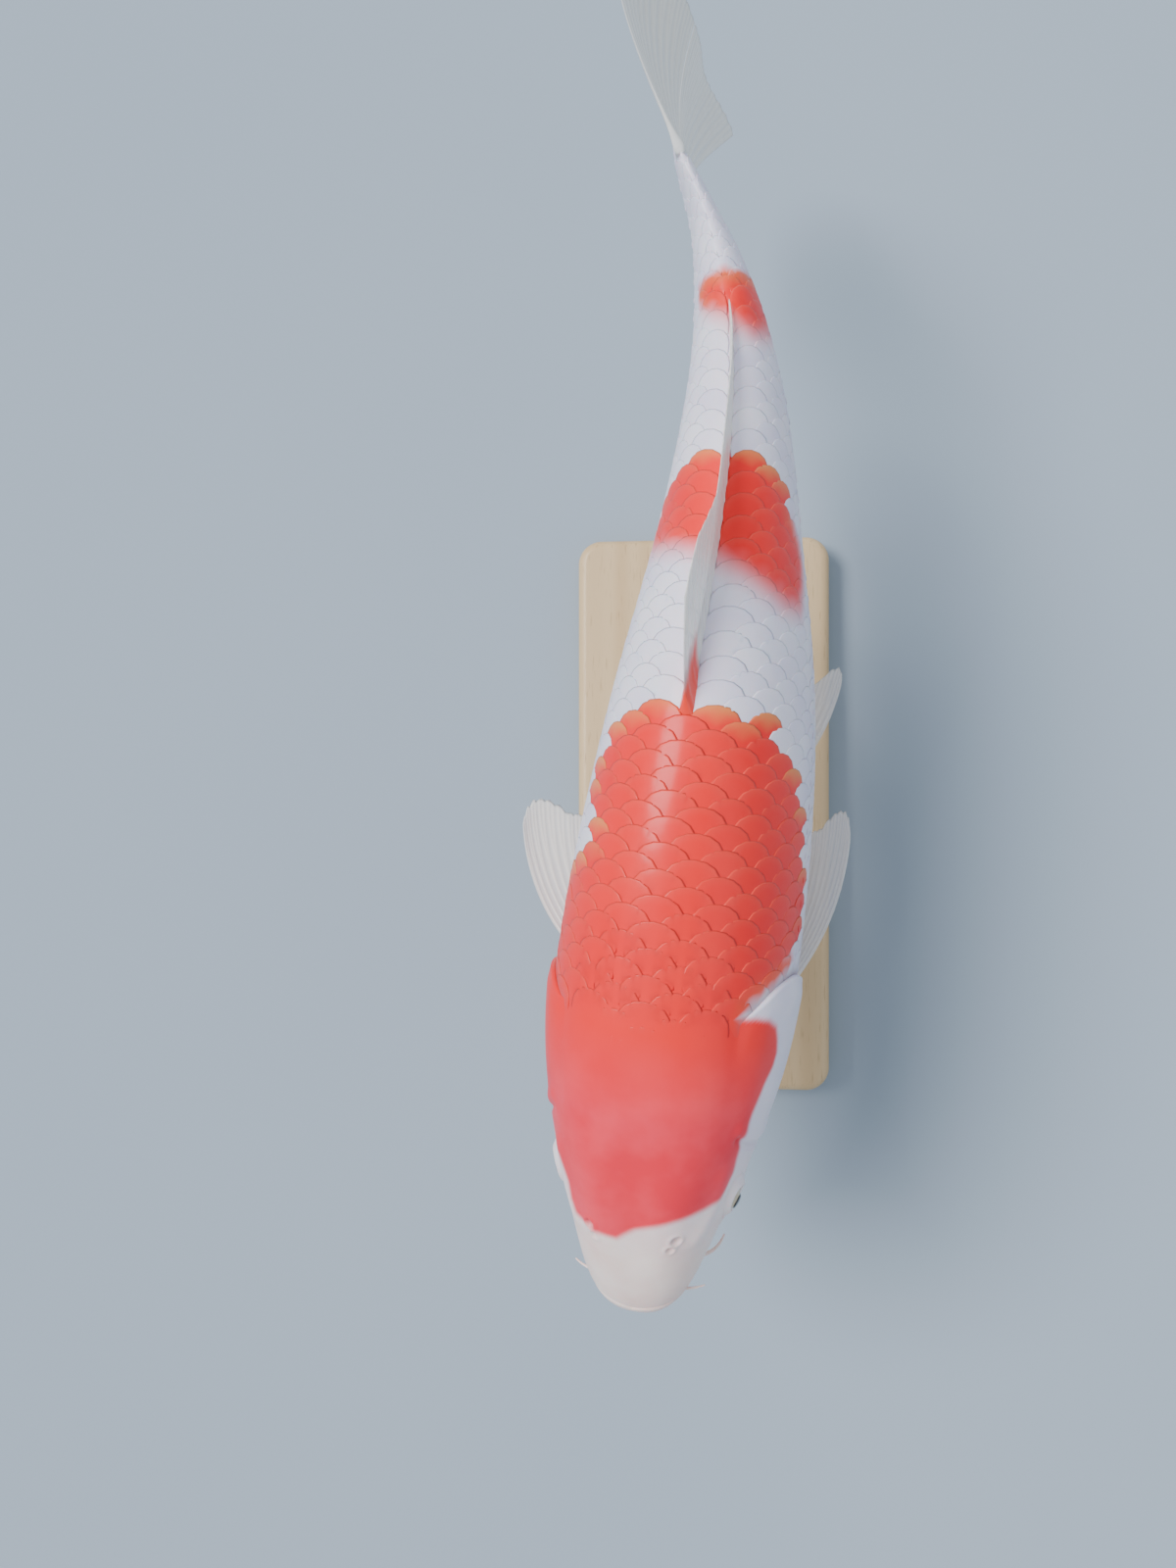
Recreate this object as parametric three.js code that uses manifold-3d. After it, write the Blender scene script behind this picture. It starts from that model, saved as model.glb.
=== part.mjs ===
// Koi carp, life size, held by a plain display stand. Millimetres, +Z up, +Y towards the tail.
// The fish is lofted round a spine that bends towards its right at the tail.
import * as THREE from 'three';
import { ParametricGeometry } from 'three/addons/geometries/ParametricGeometry.js';
import { mergeVertices } from 'three/addons/utils/BufferGeometryUtils.js';
import Module from 'manifold-3d';

const wasm = await Module();
wasm.setup();

// Driving sizes
const BODY_LENGTH = 530; // snout to the root of the tail fin, along the spine
const AXIS_HEIGHT = 185; // spine above the floor
const CENTRE = 0.43; // share of the body length that stands over the middle of the base
const SNOUT_DROP = 8; // how far the spine dips at the snout
const GAP = 0.3; // cut between neighbouring parts
const RING = 30; // facets round the body

// Spine heading in degrees, from +Y towards +X, by share of the body length
const HEADINGS = [
  [0, 7], [0.2, 7.2], [0.4, 8.2], [0.6, 5.1], [0.78, 0], [0.88, -10], [1, -19], [1.06, -6], [1.14, 10], [1.3, 12],
];

// Lean of the back towards -X in degrees
const BANKS = [
  [0, 5], [0.35, 8.5], [0.5, 8], [0.6, 6.2], [0.7, 4], [0.8, 3], [0.88, 1.5], [1, 8], [1.1, 20], [1.3, 24],
];

// Body sections: share of the length, half width, back above the spine, belly below it
const SECTIONS = [
  [0, 0, 0, 0], [0.01, 14.6, 15.5, 12.5], [0.04, 24.6, 29, 24], [0.08, 31.5, 42, 34.5], [0.12, 37.6, 52.5, 43.5],
  [0.17, 45.8, 62.5, 51.5], [0.24, 52.2, 71.5, 60], [0.32, 53.4, 77, 67], [0.42, 51.2, 80, 72], [0.55, 44.3, 74, 67],
  [0.68, 32.5, 58, 54], [0.8, 22.2, 41, 40], [0.9, 12.4, 32.5, 30.5], [0.95, 7.2, 31.5, 29.5], [1, 4, 33, 31],
];

// Squareness of the section above the spine; below it the section keeps one value
const BACK_POWERS = [[0, 2.3], [0.1, 2.5], [0.25, 2.3], [0.4, 2.08], [0.7, 2], [1, 1.9]];
const BELLY_POWER = 2.2;

const HEAD_END = 0.235;
const FRONT_END = 0.42;
const MIDDLE_END = 0.6;
const REAR_END = 0.8;

// Eyes
const EYE_RADIUS = 9.5;
const EYE_PROUD = 3.4;
const EYE_AT = 0.13;
const EYE_ANGLE = 14;

// Mouth: a slit round the snout that falls a little towards its corners
const MOUTH_CORNER = 0.046;
const MOUTH_DEPTH = 4;
const MOUTH_FALL = 0.2;
const LIP_RADIUS = 2.8;

// Block that cuts out the jaw: its reach behind and ahead of the snout, its depths and half width
const JAW_BACK = 62;
const JAW_AHEAD = 30;
const JAW_THROAT = 48;
const JAW_DROP = 80;
const JAW_HALF = 60;

// Gill covers
const COVER_FRONT = 0.158;
const COVER_TOP = 49;
const COVER_BOTTOM = -69;
const COVER_SEAT = 2.6;
const COVER_PROUD = 3.8;
const COVER_LEAST = 0.8; // how proud the front edge stands
const COVER_CORNER = 8; // degrees by which the corners are rounded off
// Its free edge: share of the body length by share of its height, from the top down
const COVER_REARS = [[0, 0.284], [0.15, 0.308], [0.3, 0.317], [0.5, 0.306], [0.7, 0.287], [1, 0.25]];
const COVER_SHUT = 0.7; // the right cover lies closer shut: its share of the left one's bulge

// Fins of the middle line: shares of the length, ray lengths, leans in degrees, offsets sideways
const FIN_SEAT = 4; // the rays start this far inside the body
const DORSAL = {
  from: 0.505, to: 0.795, length: 38, crest: 34, lead: 18, leadShare: 0.1,
  leanFront: 54, leanRear: 82, curl: 9, droop: 4.2, droopShare: 0.26, ripple: 0.6,
};
const ANAL = { from: 0.765, to: 0.842, length: 30, crest: 34, leanFront: 38, leanRear: 62, curl: 14, bend: 3 };

// Tail fin: two lobes of rays that start inside the stalk, short at the fork and long at the edges
const CAUDAL = { from: 0.985, seat: 8, innerLevel: 0.3, length: 76, crest: 54, droop: 7, ripple: 1.6 };
const CAUDAL_UPPER = { lobe: 1, level: 32, inner: -7, spread: 35, curl: 5, sweep: 0 };
const CAUDAL_LOWER = { lobe: -1, level: 30, inner: 7, spread: 38, curl: 0, sweep: -24 };

// Stand
const BASE_WIDTH = 150;
const BASE_LENGTH = 330;
const BASE_HEIGHT = 18;
const ROD_RADIUS = 4;
const ROD_PLACES = [['front', 0.32], ['rear', 0.63]];
const COLLAR_RADIUS = 12;
const COLLAR_HEIGHT = 4;

const radians = THREE.MathUtils.degToRad;
const lerp = THREE.MathUtils.lerp;

// Smooth curve through one column of a table; power spreads the steps near the snout
function smooth(table, column, at, power = 1) {
  const last = table.length - 1;
  const x = Math.min(Math.max(at, table[0][0]), table[last][0]) ** power;
  const place = (i) => table[i][0] ** power;
  const slope = (i) => (table[i + 1][column] - table[i][column]) / (place(i + 1) - place(i));
  const tangent = (i) => {
    if (i === 0) return slope(0);
    if (i === last) return slope(last - 1);
    const before = place(i) - place(i - 1);
    const after = place(i + 1) - place(i);
    return (slope(i - 1) * after + slope(i) * before) / (before + after);
  };
  let i = 0;
  while (i < last - 1 && x >= place(i + 1)) i += 1;
  const width = place(i + 1) - place(i);
  const t = (x - place(i)) / width;
  return (1 + 2 * t) * (1 - t) ** 2 * table[i][column] + t * (1 - t) ** 2 * width * tangent(i)
    + t * t * (3 - 2 * t) * table[i + 1][column] + t * t * (t - 1) * width * tangent(i + 1);
}

// The spine as a walk of short steps along its heading
const STEP = 0.001;
const walk = [[0, 0]];
for (let i = 0; i < 1300; i += 1) {
  const heading = radians(smooth(HEADINGS, 1, (i + 0.5) * STEP));
  const [x, y] = walk[i];
  walk.push([x + Math.sin(heading) * STEP * BODY_LENGTH, y + Math.cos(heading) * STEP * BODY_LENGTH]);
}
const centre = walk[Math.round(CENTRE / STEP)];

// Place and directions of the fish at a share of its length
function spine(s) {
  const i = Math.min(Math.floor(s / STEP), walk.length - 2);
  const t = s / STEP - i;
  const heading = radians(smooth(HEADINGS, 1, s));
  const bank = radians(smooth(BANKS, 1, s));
  const drop = SNOUT_DROP * Math.max(0, 1 - s / 0.15) ** 2;
  const level = new THREE.Vector3(Math.cos(heading), -Math.sin(heading), 0);
  const up = new THREE.Vector3(0, 0, 1);
  return {
    point: new THREE.Vector3(
      lerp(walk[i][0], walk[i + 1][0], t) - centre[0],
      lerp(walk[i][1], walk[i + 1][1], t) - centre[1],
      AXIS_HEIGHT - drop,
    ),
    back: new THREE.Vector3(Math.sin(heading), Math.cos(heading), 0),
    side: level.clone().multiplyScalar(Math.cos(bank)).addScaledVector(up, Math.sin(bank)),
    up: up.clone().multiplyScalar(Math.cos(bank)).addScaledVector(level, -Math.sin(bank)),
  };
}

// A point by share of the length, distance to the fish's left and height over the spine
function place(s, side, height) {
  const frame = spine(s);
  return frame.point.addScaledVector(frame.side, side).addScaledVector(frame.up, height);
}

const halfWidth = (s) => smooth(SECTIONS, 1, s, 0.5);
const backHeight = (s) => smooth(SECTIONS, 2, s, 0.5);
const bellyDepth = (s) => smooth(SECTIONS, 3, s, 0.5);

// A point of the body: angle 0 is the left flank, 90 the back, -90 the belly
function bodyPoint(s, degrees, offset = 0) {
  const angle = radians(degrees);
  const c = Math.cos(angle);
  const d = Math.sin(angle);
  const power = 2 / (d >= 0 ? smooth(BACK_POWERS, 1, s) : BELLY_POWER);
  const depth = d >= 0 ? backHeight(s) : bellyDepth(s);
  const side = Math.sign(c) * Math.abs(c) ** power * (halfWidth(s) + offset);
  return place(s, side, Math.sign(d) * Math.abs(d) ** power * (depth + offset));
}

// Turns a geometry into a closed body that faces outward
function solid(geometry) {
  const bare = geometry.clone();
  bare.deleteAttribute('normal');
  bare.deleteAttribute('uv');
  const merged = mergeVertices(bare, 1e-3);
  const corners = merged.getIndex().array;
  const kept = [];
  for (let i = 0; i < corners.length; i += 3) {
    const [a, b, c] = [corners[i], corners[i + 1], corners[i + 2]];
    if (a !== b && b !== c && c !== a) kept.push(a, b, c);
  }
  const build = (list) => new wasm.Manifold(new wasm.Mesh({
    numProp: 3,
    vertProperties: new Float32Array(merged.getAttribute('position').array),
    triVerts: new Uint32Array(list),
  }));
  const first = build(kept);
  return first.volume() > 0 ? first : build(kept.slice().reverse());
}

// A round body: rows of rings, the first and last row drawn in to one point each
function loft(point, around, rows) {
  return solid(new ParametricGeometry((u, v, target) => {
    target.copy(point(Math.round(u * around) % around / around, Math.round(v * rows)));
  }, around, rows));
}

// A thin body: shape(c, v, w) gives points across c, along v and through the thickness w from -1 to 1
function slab(shape, across, along, rim = 0.03) {
  const knot = (i, n) => {
    if (i === 0 || i === n) return i / n;
    return rim + (1 - 2 * rim) * (i - 1) / (n - 2);
  };
  return solid(new ParametricGeometry((u, v, target) => {
    const k = Math.round(u * 2 * across) % (2 * across);
    const i = k <= across ? k : 2 * across - k;
    const j = Math.round(v * along);
    const edge = i === 0 || i === across || j === 0 || j === along;
    const face = k <= across ? 1 : -1;
    target.copy(shape(knot(i, across), knot(j, along), edge ? 0 : face));
  }, 2 * across, along));
}

// A length of the body between two flat cuts; grown by offset
function bodyLength(from, to, rows, offset = 0) {
  const nose = from === 0;
  const total = rows + (nose ? 1 : 2);
  return loft((u, row) => {
    if (nose && row === 0) return place(0, 0, 0).addScaledVector(spine(0).back, -offset);
    if (!nose && row === 0) return place(from, 0, 0);
    if (row === total) return place(to, 0, 0);
    const t = nose ? (row / rows) ** 2 : (row - 1) / rows;
    return bodyPoint(lerp(from, to, t), 360 * u, offset);
  }, RING, total);
}

const body = bodyLength(0, 1, 42, GAP);
const half = GAP / 2 / BODY_LENGTH;

// Eyes
function eyeball(side, grow) {
  const angle = side > 0 ? EYE_ANGLE : 180 - EYE_ANGLE;
  const at = bodyPoint(EYE_AT, angle, EYE_PROUD - EYE_RADIUS);
  const ball = new THREE.SphereGeometry(EYE_RADIUS + grow, 14, 9);
  return solid(ball).translate([at.x, at.y, at.z]);
}

// Gill cover: a plate let into the cheek, standing proud towards its free rear edge
function gillCover(side, grow) {
  const edge = grow / BODY_LENGTH;
  return slab((c, v, w) => {
    const front = COVER_FRONT + 0.03 * Math.abs(2 * v - 1) ** 3 - edge;
    const base = COVER_REARS.at(-1)[1];
    const bulge = (smooth(COVER_REARS, 1, v) - base) * (side > 0 ? 1 : COVER_SHUT);
    const rear = base + bulge + edge;
    const round = COVER_CORNER * (2 * c - 1) ** 2;
    const angle = lerp(COVER_TOP + grow - round, COVER_BOTTOM - grow + round, v);
    const proud = COVER_LEAST + (COVER_PROUD - COVER_LEAST) * Math.sin(Math.PI * (0.14 + 0.36 * v)) * c ** 0.8;
    const offset = w >= 0 ? proud * (w > 0 ? 1 : 0.4) + grow * w : -COVER_SEAT - grow;
    return bodyPoint(lerp(front, rear, c), side > 0 ? angle : 180 - angle, offset);
  }, 8, 9, 0.04);
}

// Mouth line, t from -1 at the right corner to 1 at the left one, lifted along the face
function mouthPoint(t, lift) {
  const s = lerp(0.0035, MOUTH_CORNER, t * t);
  const height = lift - MOUTH_DEPTH - s * BODY_LENGTH * MOUTH_FALL;
  const power = height > 0 ? smooth(BACK_POWERS, 1, s) : BELLY_POWER;
  const share = Math.min(1, Math.abs(height) / (height > 0 ? backHeight(s) : bellyDepth(s)));
  const side = halfWidth(s) * (1 - share ** power) ** (1 / power);
  return place(s, Math.sign(t) * side, height);
}

// A lip: a tube along the mouth line that thins towards its corners
function lip(lift, grow = 0) {
  const rows = 14;
  const centreAt = (row) => mouthPoint(2 * (row - 1) / (rows - 2) - 1, lift);
  return loft((u, row) => {
    const r = Math.min(Math.max(row, 1), rows - 1);
    const at = centreAt(r);
    if (row !== r) return at;
    const along = centreAt(Math.min(r + 1, rows - 1)).sub(centreAt(Math.max(r - 1, 1))).normalize();
    const out = new THREE.Vector3().crossVectors(along, spine(0.02).up).normalize();
    const t = 2 * (r - 1) / (rows - 2) - 1;
    const radius = LIP_RADIUS * (1 - 0.45 * t * t) + grow;
    const angle = 2 * Math.PI * u;
    at.addScaledVector(out, radius * Math.cos(angle));
    return at.addScaledVector(spine(0.02).up, radius * 0.86 * Math.sin(angle));
  }, 8, rows);
}

// The jaw block: everything under the mouth line and in front of the throat
function jawBlock(grow) {
  const outline = new THREE.Shape();
  const corner = MOUTH_DEPTH + MOUTH_CORNER * BODY_LENGTH * MOUTH_FALL;
  outline.moveTo(-JAW_AHEAD, JAW_AHEAD * MOUTH_FALL - MOUTH_DEPTH + grow);
  outline.lineTo(MOUTH_CORNER * BODY_LENGTH + grow, grow - corner);
  outline.lineTo(JAW_BACK + grow, -JAW_THROAT);
  outline.lineTo(JAW_BACK + grow, -JAW_DROP);
  outline.lineTo(-JAW_AHEAD, -JAW_DROP);
  outline.closePath();
  const block = new THREE.ExtrudeGeometry(outline, { depth: 2 * JAW_HALF, bevelEnabled: false });
  const frame = spine(0.02);
  const turn = new THREE.Matrix4().makeBasis(frame.back, frame.up, frame.side.clone().negate());
  turn.setPosition(place(0, 0, 0).addScaledVector(frame.side, JAW_HALF));
  block.applyMatrix4(turn);
  return solid(block);
}

// A fin: point(c, v) gives its middle sheet, thick at the root and thin at the margin
function fin(point, root, margin, across, along) {
  const normal = (c, v) => {
    const step = 0.01;
    const over = point(Math.min(c + step, 1), v).sub(point(Math.max(c - step, 0), v));
    const out = point(c, Math.min(v + step, 1)).sub(point(c, Math.max(v - step, 0)));
    return over.cross(out).normalize();
  };
  return slab((c, v, w) => {
    const thick = lerp(root, margin, v);
    return point(c, v).addScaledVector(normal(c, v), w * thick / 2);
  }, across, along, 0.02);
}

// Fins of the middle line: rays leave the ridge and lean towards the tail
function dorsalRay(c, v) {
  const at = lerp(DORSAL.from, DORSAL.to, c);
  const lead = DORSAL.lead * Math.max(0, 1 - c / DORSAL.leadShare) ** 2;
  const length = DORSAL.length + DORSAL.crest * (1 - c) ** 2.4 - lead;
  const tilt = radians(lerp(DORSAL.leanFront, DORSAL.leanRear, c ** 0.8) + DORSAL.curl * v);
  const s = at + length * v * Math.sin(tilt) / BODY_LENGTH;
  const rise = backHeight(at) - FIN_SEAT + (length + FIN_SEAT) * v * Math.cos(tilt);
  const droop = DORSAL.droop * Math.max(0, 1 - c / DORSAL.droopShare);
  return place(s, v * (DORSAL.ripple * Math.sin(9 * c) - droop), rise);
}

function analRay(c, v) {
  const at = lerp(ANAL.from, ANAL.to, c);
  const length = ANAL.length + ANAL.crest * (1 - c) ** 1.3;
  const tilt = radians(lerp(ANAL.leanFront, ANAL.leanRear, c) + ANAL.curl * v);
  const s = at + length * v * Math.sin(tilt) / BODY_LENGTH;
  return place(s, ANAL.bend * v * v, FIN_SEAT - bellyDepth(at) - (length + FIN_SEAT) * v * Math.cos(tilt));
}

function caudalRay(kit) {
  return (c, v) => {
    const length = CAUDAL.length + CAUDAL.crest * c ** 1.7;
    const spread = radians(kit.inner + kit.spread * c - kit.curl * v * c);
    const s = CAUDAL.from + (length + CAUDAL.seat) * v * Math.cos(spread) / BODY_LENGTH;
    const side = v * (kit.sweep * c + CAUDAL.droop * (1 - c) + CAUDAL.ripple * Math.sin(8 * c));
    const level = lerp(CAUDAL.innerLevel, kit.level, c) + length * v * Math.sin(spread);
    return place(s, side, kit.lobe * level);
  };
}

// Paired fins: rays fan out from a short root on the flank and curve back
function pairedRay(side, kit) {
  return (c, v) => {
    const frame = spine(kit.at);
    const degrees = lerp(kit.angle, kit.angle - kit.rootTurn, c);
    const root = bodyPoint(kit.at + kit.rootRun * c, side > 0 ? degrees : 180 - degrees, -FIN_SEAT);
    const length = kit.length * (1 - kit.taper * c ** 1.6) * (0.9 + 0.1 * Math.sin(Math.PI * Math.min(1, c * 2.5)));
    const out = lerp(kit.outFront, kit.outRear, c);
    const middle = radians(out - 0.5 * (out - kit.outEnd) * v);
    const down = radians(lerp(kit.downFront, kit.downRear, c) - kit.cup * v);
    const reach = length * v;
    root.addScaledVector(frame.back, reach * Math.cos(middle) * Math.cos(down));
    root.addScaledVector(frame.side, side * reach * Math.sin(middle) * Math.cos(down));
    root.addScaledVector(frame.up, -reach * Math.sin(down) + 1.2 * v * Math.sin(8 * c));
    return root;
  };
}

const PECTORAL = {
  at: 0.274, angle: -32, rootTurn: 20, rootRun: 0.03, length: 97, taper: 0.34,
  outFront: 66, outRear: 16, outEnd: 8, downFront: 5, downRear: 18, cup: 2,
};
const PECTORAL_LEFT = { ...PECTORAL, length: 102, outFront: 37, outRear: 4, outEnd: -6, downFront: 12, downRear: 26 };
const PELVIC = {
  at: 0.462, angle: -56, rootTurn: 14, rootRun: 0.024, length: 74, taper: 0.45,
  outFront: 40, outRear: 12, outEnd: 4, downFront: 14, downRear: 30, cup: 6,
};

// A feeler: a thin tapered tube from the lip, standing out sideways or curling back and down
function barbel(side, at, angle, length, thick, curl) {
  const rows = 9;
  const frame = spine(at);
  const start = bodyPoint(at, side > 0 ? angle : 180 - angle, -2);
  const path = new THREE.QuadraticBezierCurve3(
    start,
    start.clone().addScaledVector(frame.side, side * length * 0.5).addScaledVector(frame.up, -length * 0.22 * curl),
    start.clone().addScaledVector(frame.side, side * length * (1.1 - 0.48 * curl))
      .addScaledVector(frame.up, -length * 0.62 * curl).addScaledVector(frame.back, length * 0.42 * curl),
  );
  const axes = path.computeFrenetFrames(rows - 2);
  return loft((u, row) => {
    const r = Math.min(Math.max(row, 1), rows - 1);
    const t = (r - 1) / (rows - 2);
    const at2 = path.getPointAt(t);
    if (row !== r) return at2;
    const radius = lerp(thick, thick * 0.42, t) / 2;
    at2.addScaledVector(axes.normals[r - 1], radius * Math.cos(2 * Math.PI * u));
    return at2.addScaledVector(axes.binormals[r - 1], radius * Math.sin(2 * Math.PI * u));
  }, 8, rows);
}

// Stand pieces
function standBase() {
  const bevel = 3;
  const corner = 14;
  const w = BASE_WIDTH / 2 - bevel;
  const l = BASE_LENGTH / 2 - bevel;
  const outline = new THREE.Shape();
  outline.moveTo(-w + corner, -l);
  outline.lineTo(w - corner, -l);
  outline.absarc(w - corner, -l + corner, corner, -Math.PI / 2, 0);
  outline.lineTo(w, l - corner);
  outline.absarc(w - corner, l - corner, corner, 0, Math.PI / 2);
  outline.lineTo(-w + corner, l);
  outline.absarc(-w + corner, l - corner, corner, Math.PI / 2, Math.PI);
  outline.lineTo(-w, -l + corner);
  outline.absarc(-w + corner, -l + corner, corner, Math.PI, 1.5 * Math.PI);
  const slabShape = new THREE.ExtrudeGeometry(outline, {
    depth: BASE_HEIGHT - 2 * bevel,
    bevelThickness: bevel,
    bevelSize: bevel,
    bevelSegments: 2,
    curveSegments: 5,
  });
  slabShape.translate(0, 0, bevel);
  return solid(slabShape);
}

function rodFoot(at) {
  const frame = spine(at);
  return frame.point.addScaledVector(frame.side, -0.1 * bellyDepth(at));
}

function upright(at, radius, from, to) {
  const foot = rodFoot(at);
  const tube = new THREE.CylinderGeometry(radius, radius, to - from, 20);
  tube.rotateX(Math.PI / 2);
  tube.translate(foot.x, foot.y, (from + to) / 2);
  return solid(tube);
}

// Everything below is gathered as name, solid, colour, roughness, metalness
const parts = [];
const SKIN_WHITE = 0xe6dde4;
const SKIN_RED = 0xd8493a;
const FIN_TINT = 0xd5d2cf;

function keep(name, shape, colour, roughness = 0.35, metalness = 0) {
  parts.push({ name, shape, colour, roughness, metalness });
}

const jaw = jawBlock(0);
const jawSpace = jawBlock(GAP);
const covers = [gillCover(1, GAP), gillCover(-1, GAP)];
const sockets = [eyeball(1, GAP), eyeball(-1, GAP)];
const wholeHead = bodyLength(0, HEAD_END - half, 13);

keep('head', wholeHead.subtract(jawSpace).subtract(covers[0]).subtract(covers[1])
  .subtract(sockets[0]).subtract(sockets[1]), SKIN_RED);
keep('lower_jaw', wholeHead.intersect(jaw), SKIN_WHITE);
const lipLift = LIP_RADIUS * 0.86 + GAP / 2;
const lips = lip(lipLift, GAP).add(lip(-lipLift, GAP));
keep('lip_upper', lip(lipLift).subtract(body), SKIN_WHITE);
keep('lip_lower', lip(-lipLift).subtract(body), SKIN_WHITE);
keep('gill_cover_left', gillCover(1, 0), SKIN_WHITE);
keep('gill_cover_right', gillCover(-1, 0), SKIN_RED);
keep('eye_left', eyeball(1, 0), 0x1c1a1c, 0.08);
keep('eye_right', eyeball(-1, 0), 0x1c1a1c, 0.08);
keep('trunk_front', bodyLength(HEAD_END + half, FRONT_END - half, 6).subtract(covers[0]).subtract(covers[1]), SKIN_RED);
keep('trunk_middle', bodyLength(FRONT_END + half, MIDDLE_END - half, 5), SKIN_WHITE);
keep('trunk_rear', bodyLength(MIDDLE_END + half, REAR_END - half, 6), SKIN_RED);
keep('tail_stalk', bodyLength(REAR_END + half, 1 - half, 7), SKIN_WHITE);

keep('dorsal_fin', fin(dorsalRay, 1.8, 0.8, 14, 6).subtract(body), FIN_TINT);
keep('anal_fin', fin(analRay, 1.6, 0.8, 7, 6).subtract(body), FIN_TINT);
const tailBody = bodyLength(0.9, 1 + half, 6, GAP);
keep('caudal_fin_upper', fin(caudalRay(CAUDAL_UPPER), 2, 0.8, 9, 8).subtract(tailBody), FIN_TINT);
keep('caudal_fin_lower', fin(caudalRay(CAUDAL_LOWER), 2, 0.8, 9, 8).subtract(tailBody), FIN_TINT);
for (const [name, side, kit] of [['left', 1, PECTORAL_LEFT], ['right', -1, PECTORAL]]) {
  const cover = covers[side > 0 ? 0 : 1];
  keep(`pectoral_fin_${name}`, fin(pairedRay(side, kit), 2, 0.8, 9, 8).subtract(body).subtract(cover), FIN_TINT);
  keep(`pelvic_fin_${name}`, fin(pairedRay(side, PELVIC), 1.8, 0.8, 7, 7).subtract(body), FIN_TINT);
}
for (const [name, side] of [['left', 1], ['right', -1]]) {
  const corner = barbel(side, MOUTH_CORNER + 0.004, -22, 20, 2.2, 1).subtract(body);
  const front = barbel(side, 0.03, 8, 12, 1.6, 0.45).subtract(body);
  keep(`barbel_corner_${name}`, corner.subtract(lips), SKIN_WHITE);
  keep(`barbel_front_${name}`, front.subtract(lips), SKIN_WHITE);
}

const base = standBase();
keep('stand_base', base, 0xd8c19b, 0.55);
for (const [name, at] of ROD_PLACES) {
  const collar = upright(at, COLLAR_RADIUS, BASE_HEIGHT + 0.02, BASE_HEIGHT + COLLAR_HEIGHT);
  keep(`stand_collar_${name}`, collar, 0xb9bcc0, 0.3, 1);
  const rod = upright(at, ROD_RADIUS, BASE_HEIGHT + COLLAR_HEIGHT + 0.02, AXIS_HEIGHT).subtract(body);
  keep(`stand_rod_${name}`, rod, 0xb9bcc0, 0.3, 1);
}

const group = new THREE.Group();
group.name = 'koi_carp';
for (const { name, shape, colour, roughness, metalness } of parts) {
  const made = shape.getMesh();
  const geometry = new THREE.BufferGeometry();
  geometry.setAttribute('position', new THREE.BufferAttribute(new Float32Array(made.vertProperties), 3));
  geometry.setIndex(new THREE.BufferAttribute(new Uint32Array(made.triVerts), 1));
  geometry.computeVertexNormals();
  const material = new THREE.MeshStandardMaterial({ color: colour, roughness, metalness });
  const mesh = new THREE.Mesh(geometry, material);
  mesh.name = name;
  group.add(mesh);
}

export default group;
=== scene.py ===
"""Koi carp, life size, on a plain display stand: skin, scales, fins, eyes, feelers and stand.

Shapes are worked out in millimetres, +Z up and +Y towards the tail, and become metres in make_mesh.
A place on the fish is a share s of the body length and an angle round the body in degrees:
0 is the fish's left flank, 90 the back, 180 the right flank and -90 or 270 the belly.
"""
import math
from functools import partial
from types import SimpleNamespace as Kit

import bpy
import numpy as np
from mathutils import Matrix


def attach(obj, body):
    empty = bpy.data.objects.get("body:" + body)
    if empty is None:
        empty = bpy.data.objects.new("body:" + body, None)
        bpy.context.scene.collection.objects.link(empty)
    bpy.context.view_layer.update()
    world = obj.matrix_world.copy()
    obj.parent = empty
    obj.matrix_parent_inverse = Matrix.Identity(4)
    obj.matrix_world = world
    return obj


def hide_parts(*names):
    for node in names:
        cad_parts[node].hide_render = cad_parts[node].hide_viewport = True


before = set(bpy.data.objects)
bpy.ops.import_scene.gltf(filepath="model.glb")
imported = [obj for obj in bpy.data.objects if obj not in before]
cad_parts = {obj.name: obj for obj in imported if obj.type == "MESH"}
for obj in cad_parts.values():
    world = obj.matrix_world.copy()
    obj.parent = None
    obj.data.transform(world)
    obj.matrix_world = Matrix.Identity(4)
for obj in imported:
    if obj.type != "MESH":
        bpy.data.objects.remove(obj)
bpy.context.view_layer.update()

MM = 0.001
BODY_LENGTH = 530.0  # snout to the root of the tail fin
AXIS_HEIGHT = 185.0  # spine above the floor
CENTRE = 0.43  # share of the length over the middle of the base
SNOUT_DROP = 8.0  # the snout's tip lies this much lower, and the drop ends at this share of the length
DROP_END = 0.15
SPINE_END = 1.3

# Spine heading in degrees from +Y towards +X, and lean of the back towards -X, by share of the length
HEADINGS = [(0, 7), (0.2, 7.2), (0.4, 8.2), (0.6, 5.1), (0.78, 0), (0.88, -10), (1, -19), (1.06, -6),
            (1.14, 10), (1.3, 12)]
BANKS = [(0, 5), (0.35, 8.5), (0.5, 8), (0.6, 6.2), (0.7, 4), (0.8, 3), (0.88, 1.5), (1, 8), (1.1, 20),
         (1.3, 24)]

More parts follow.
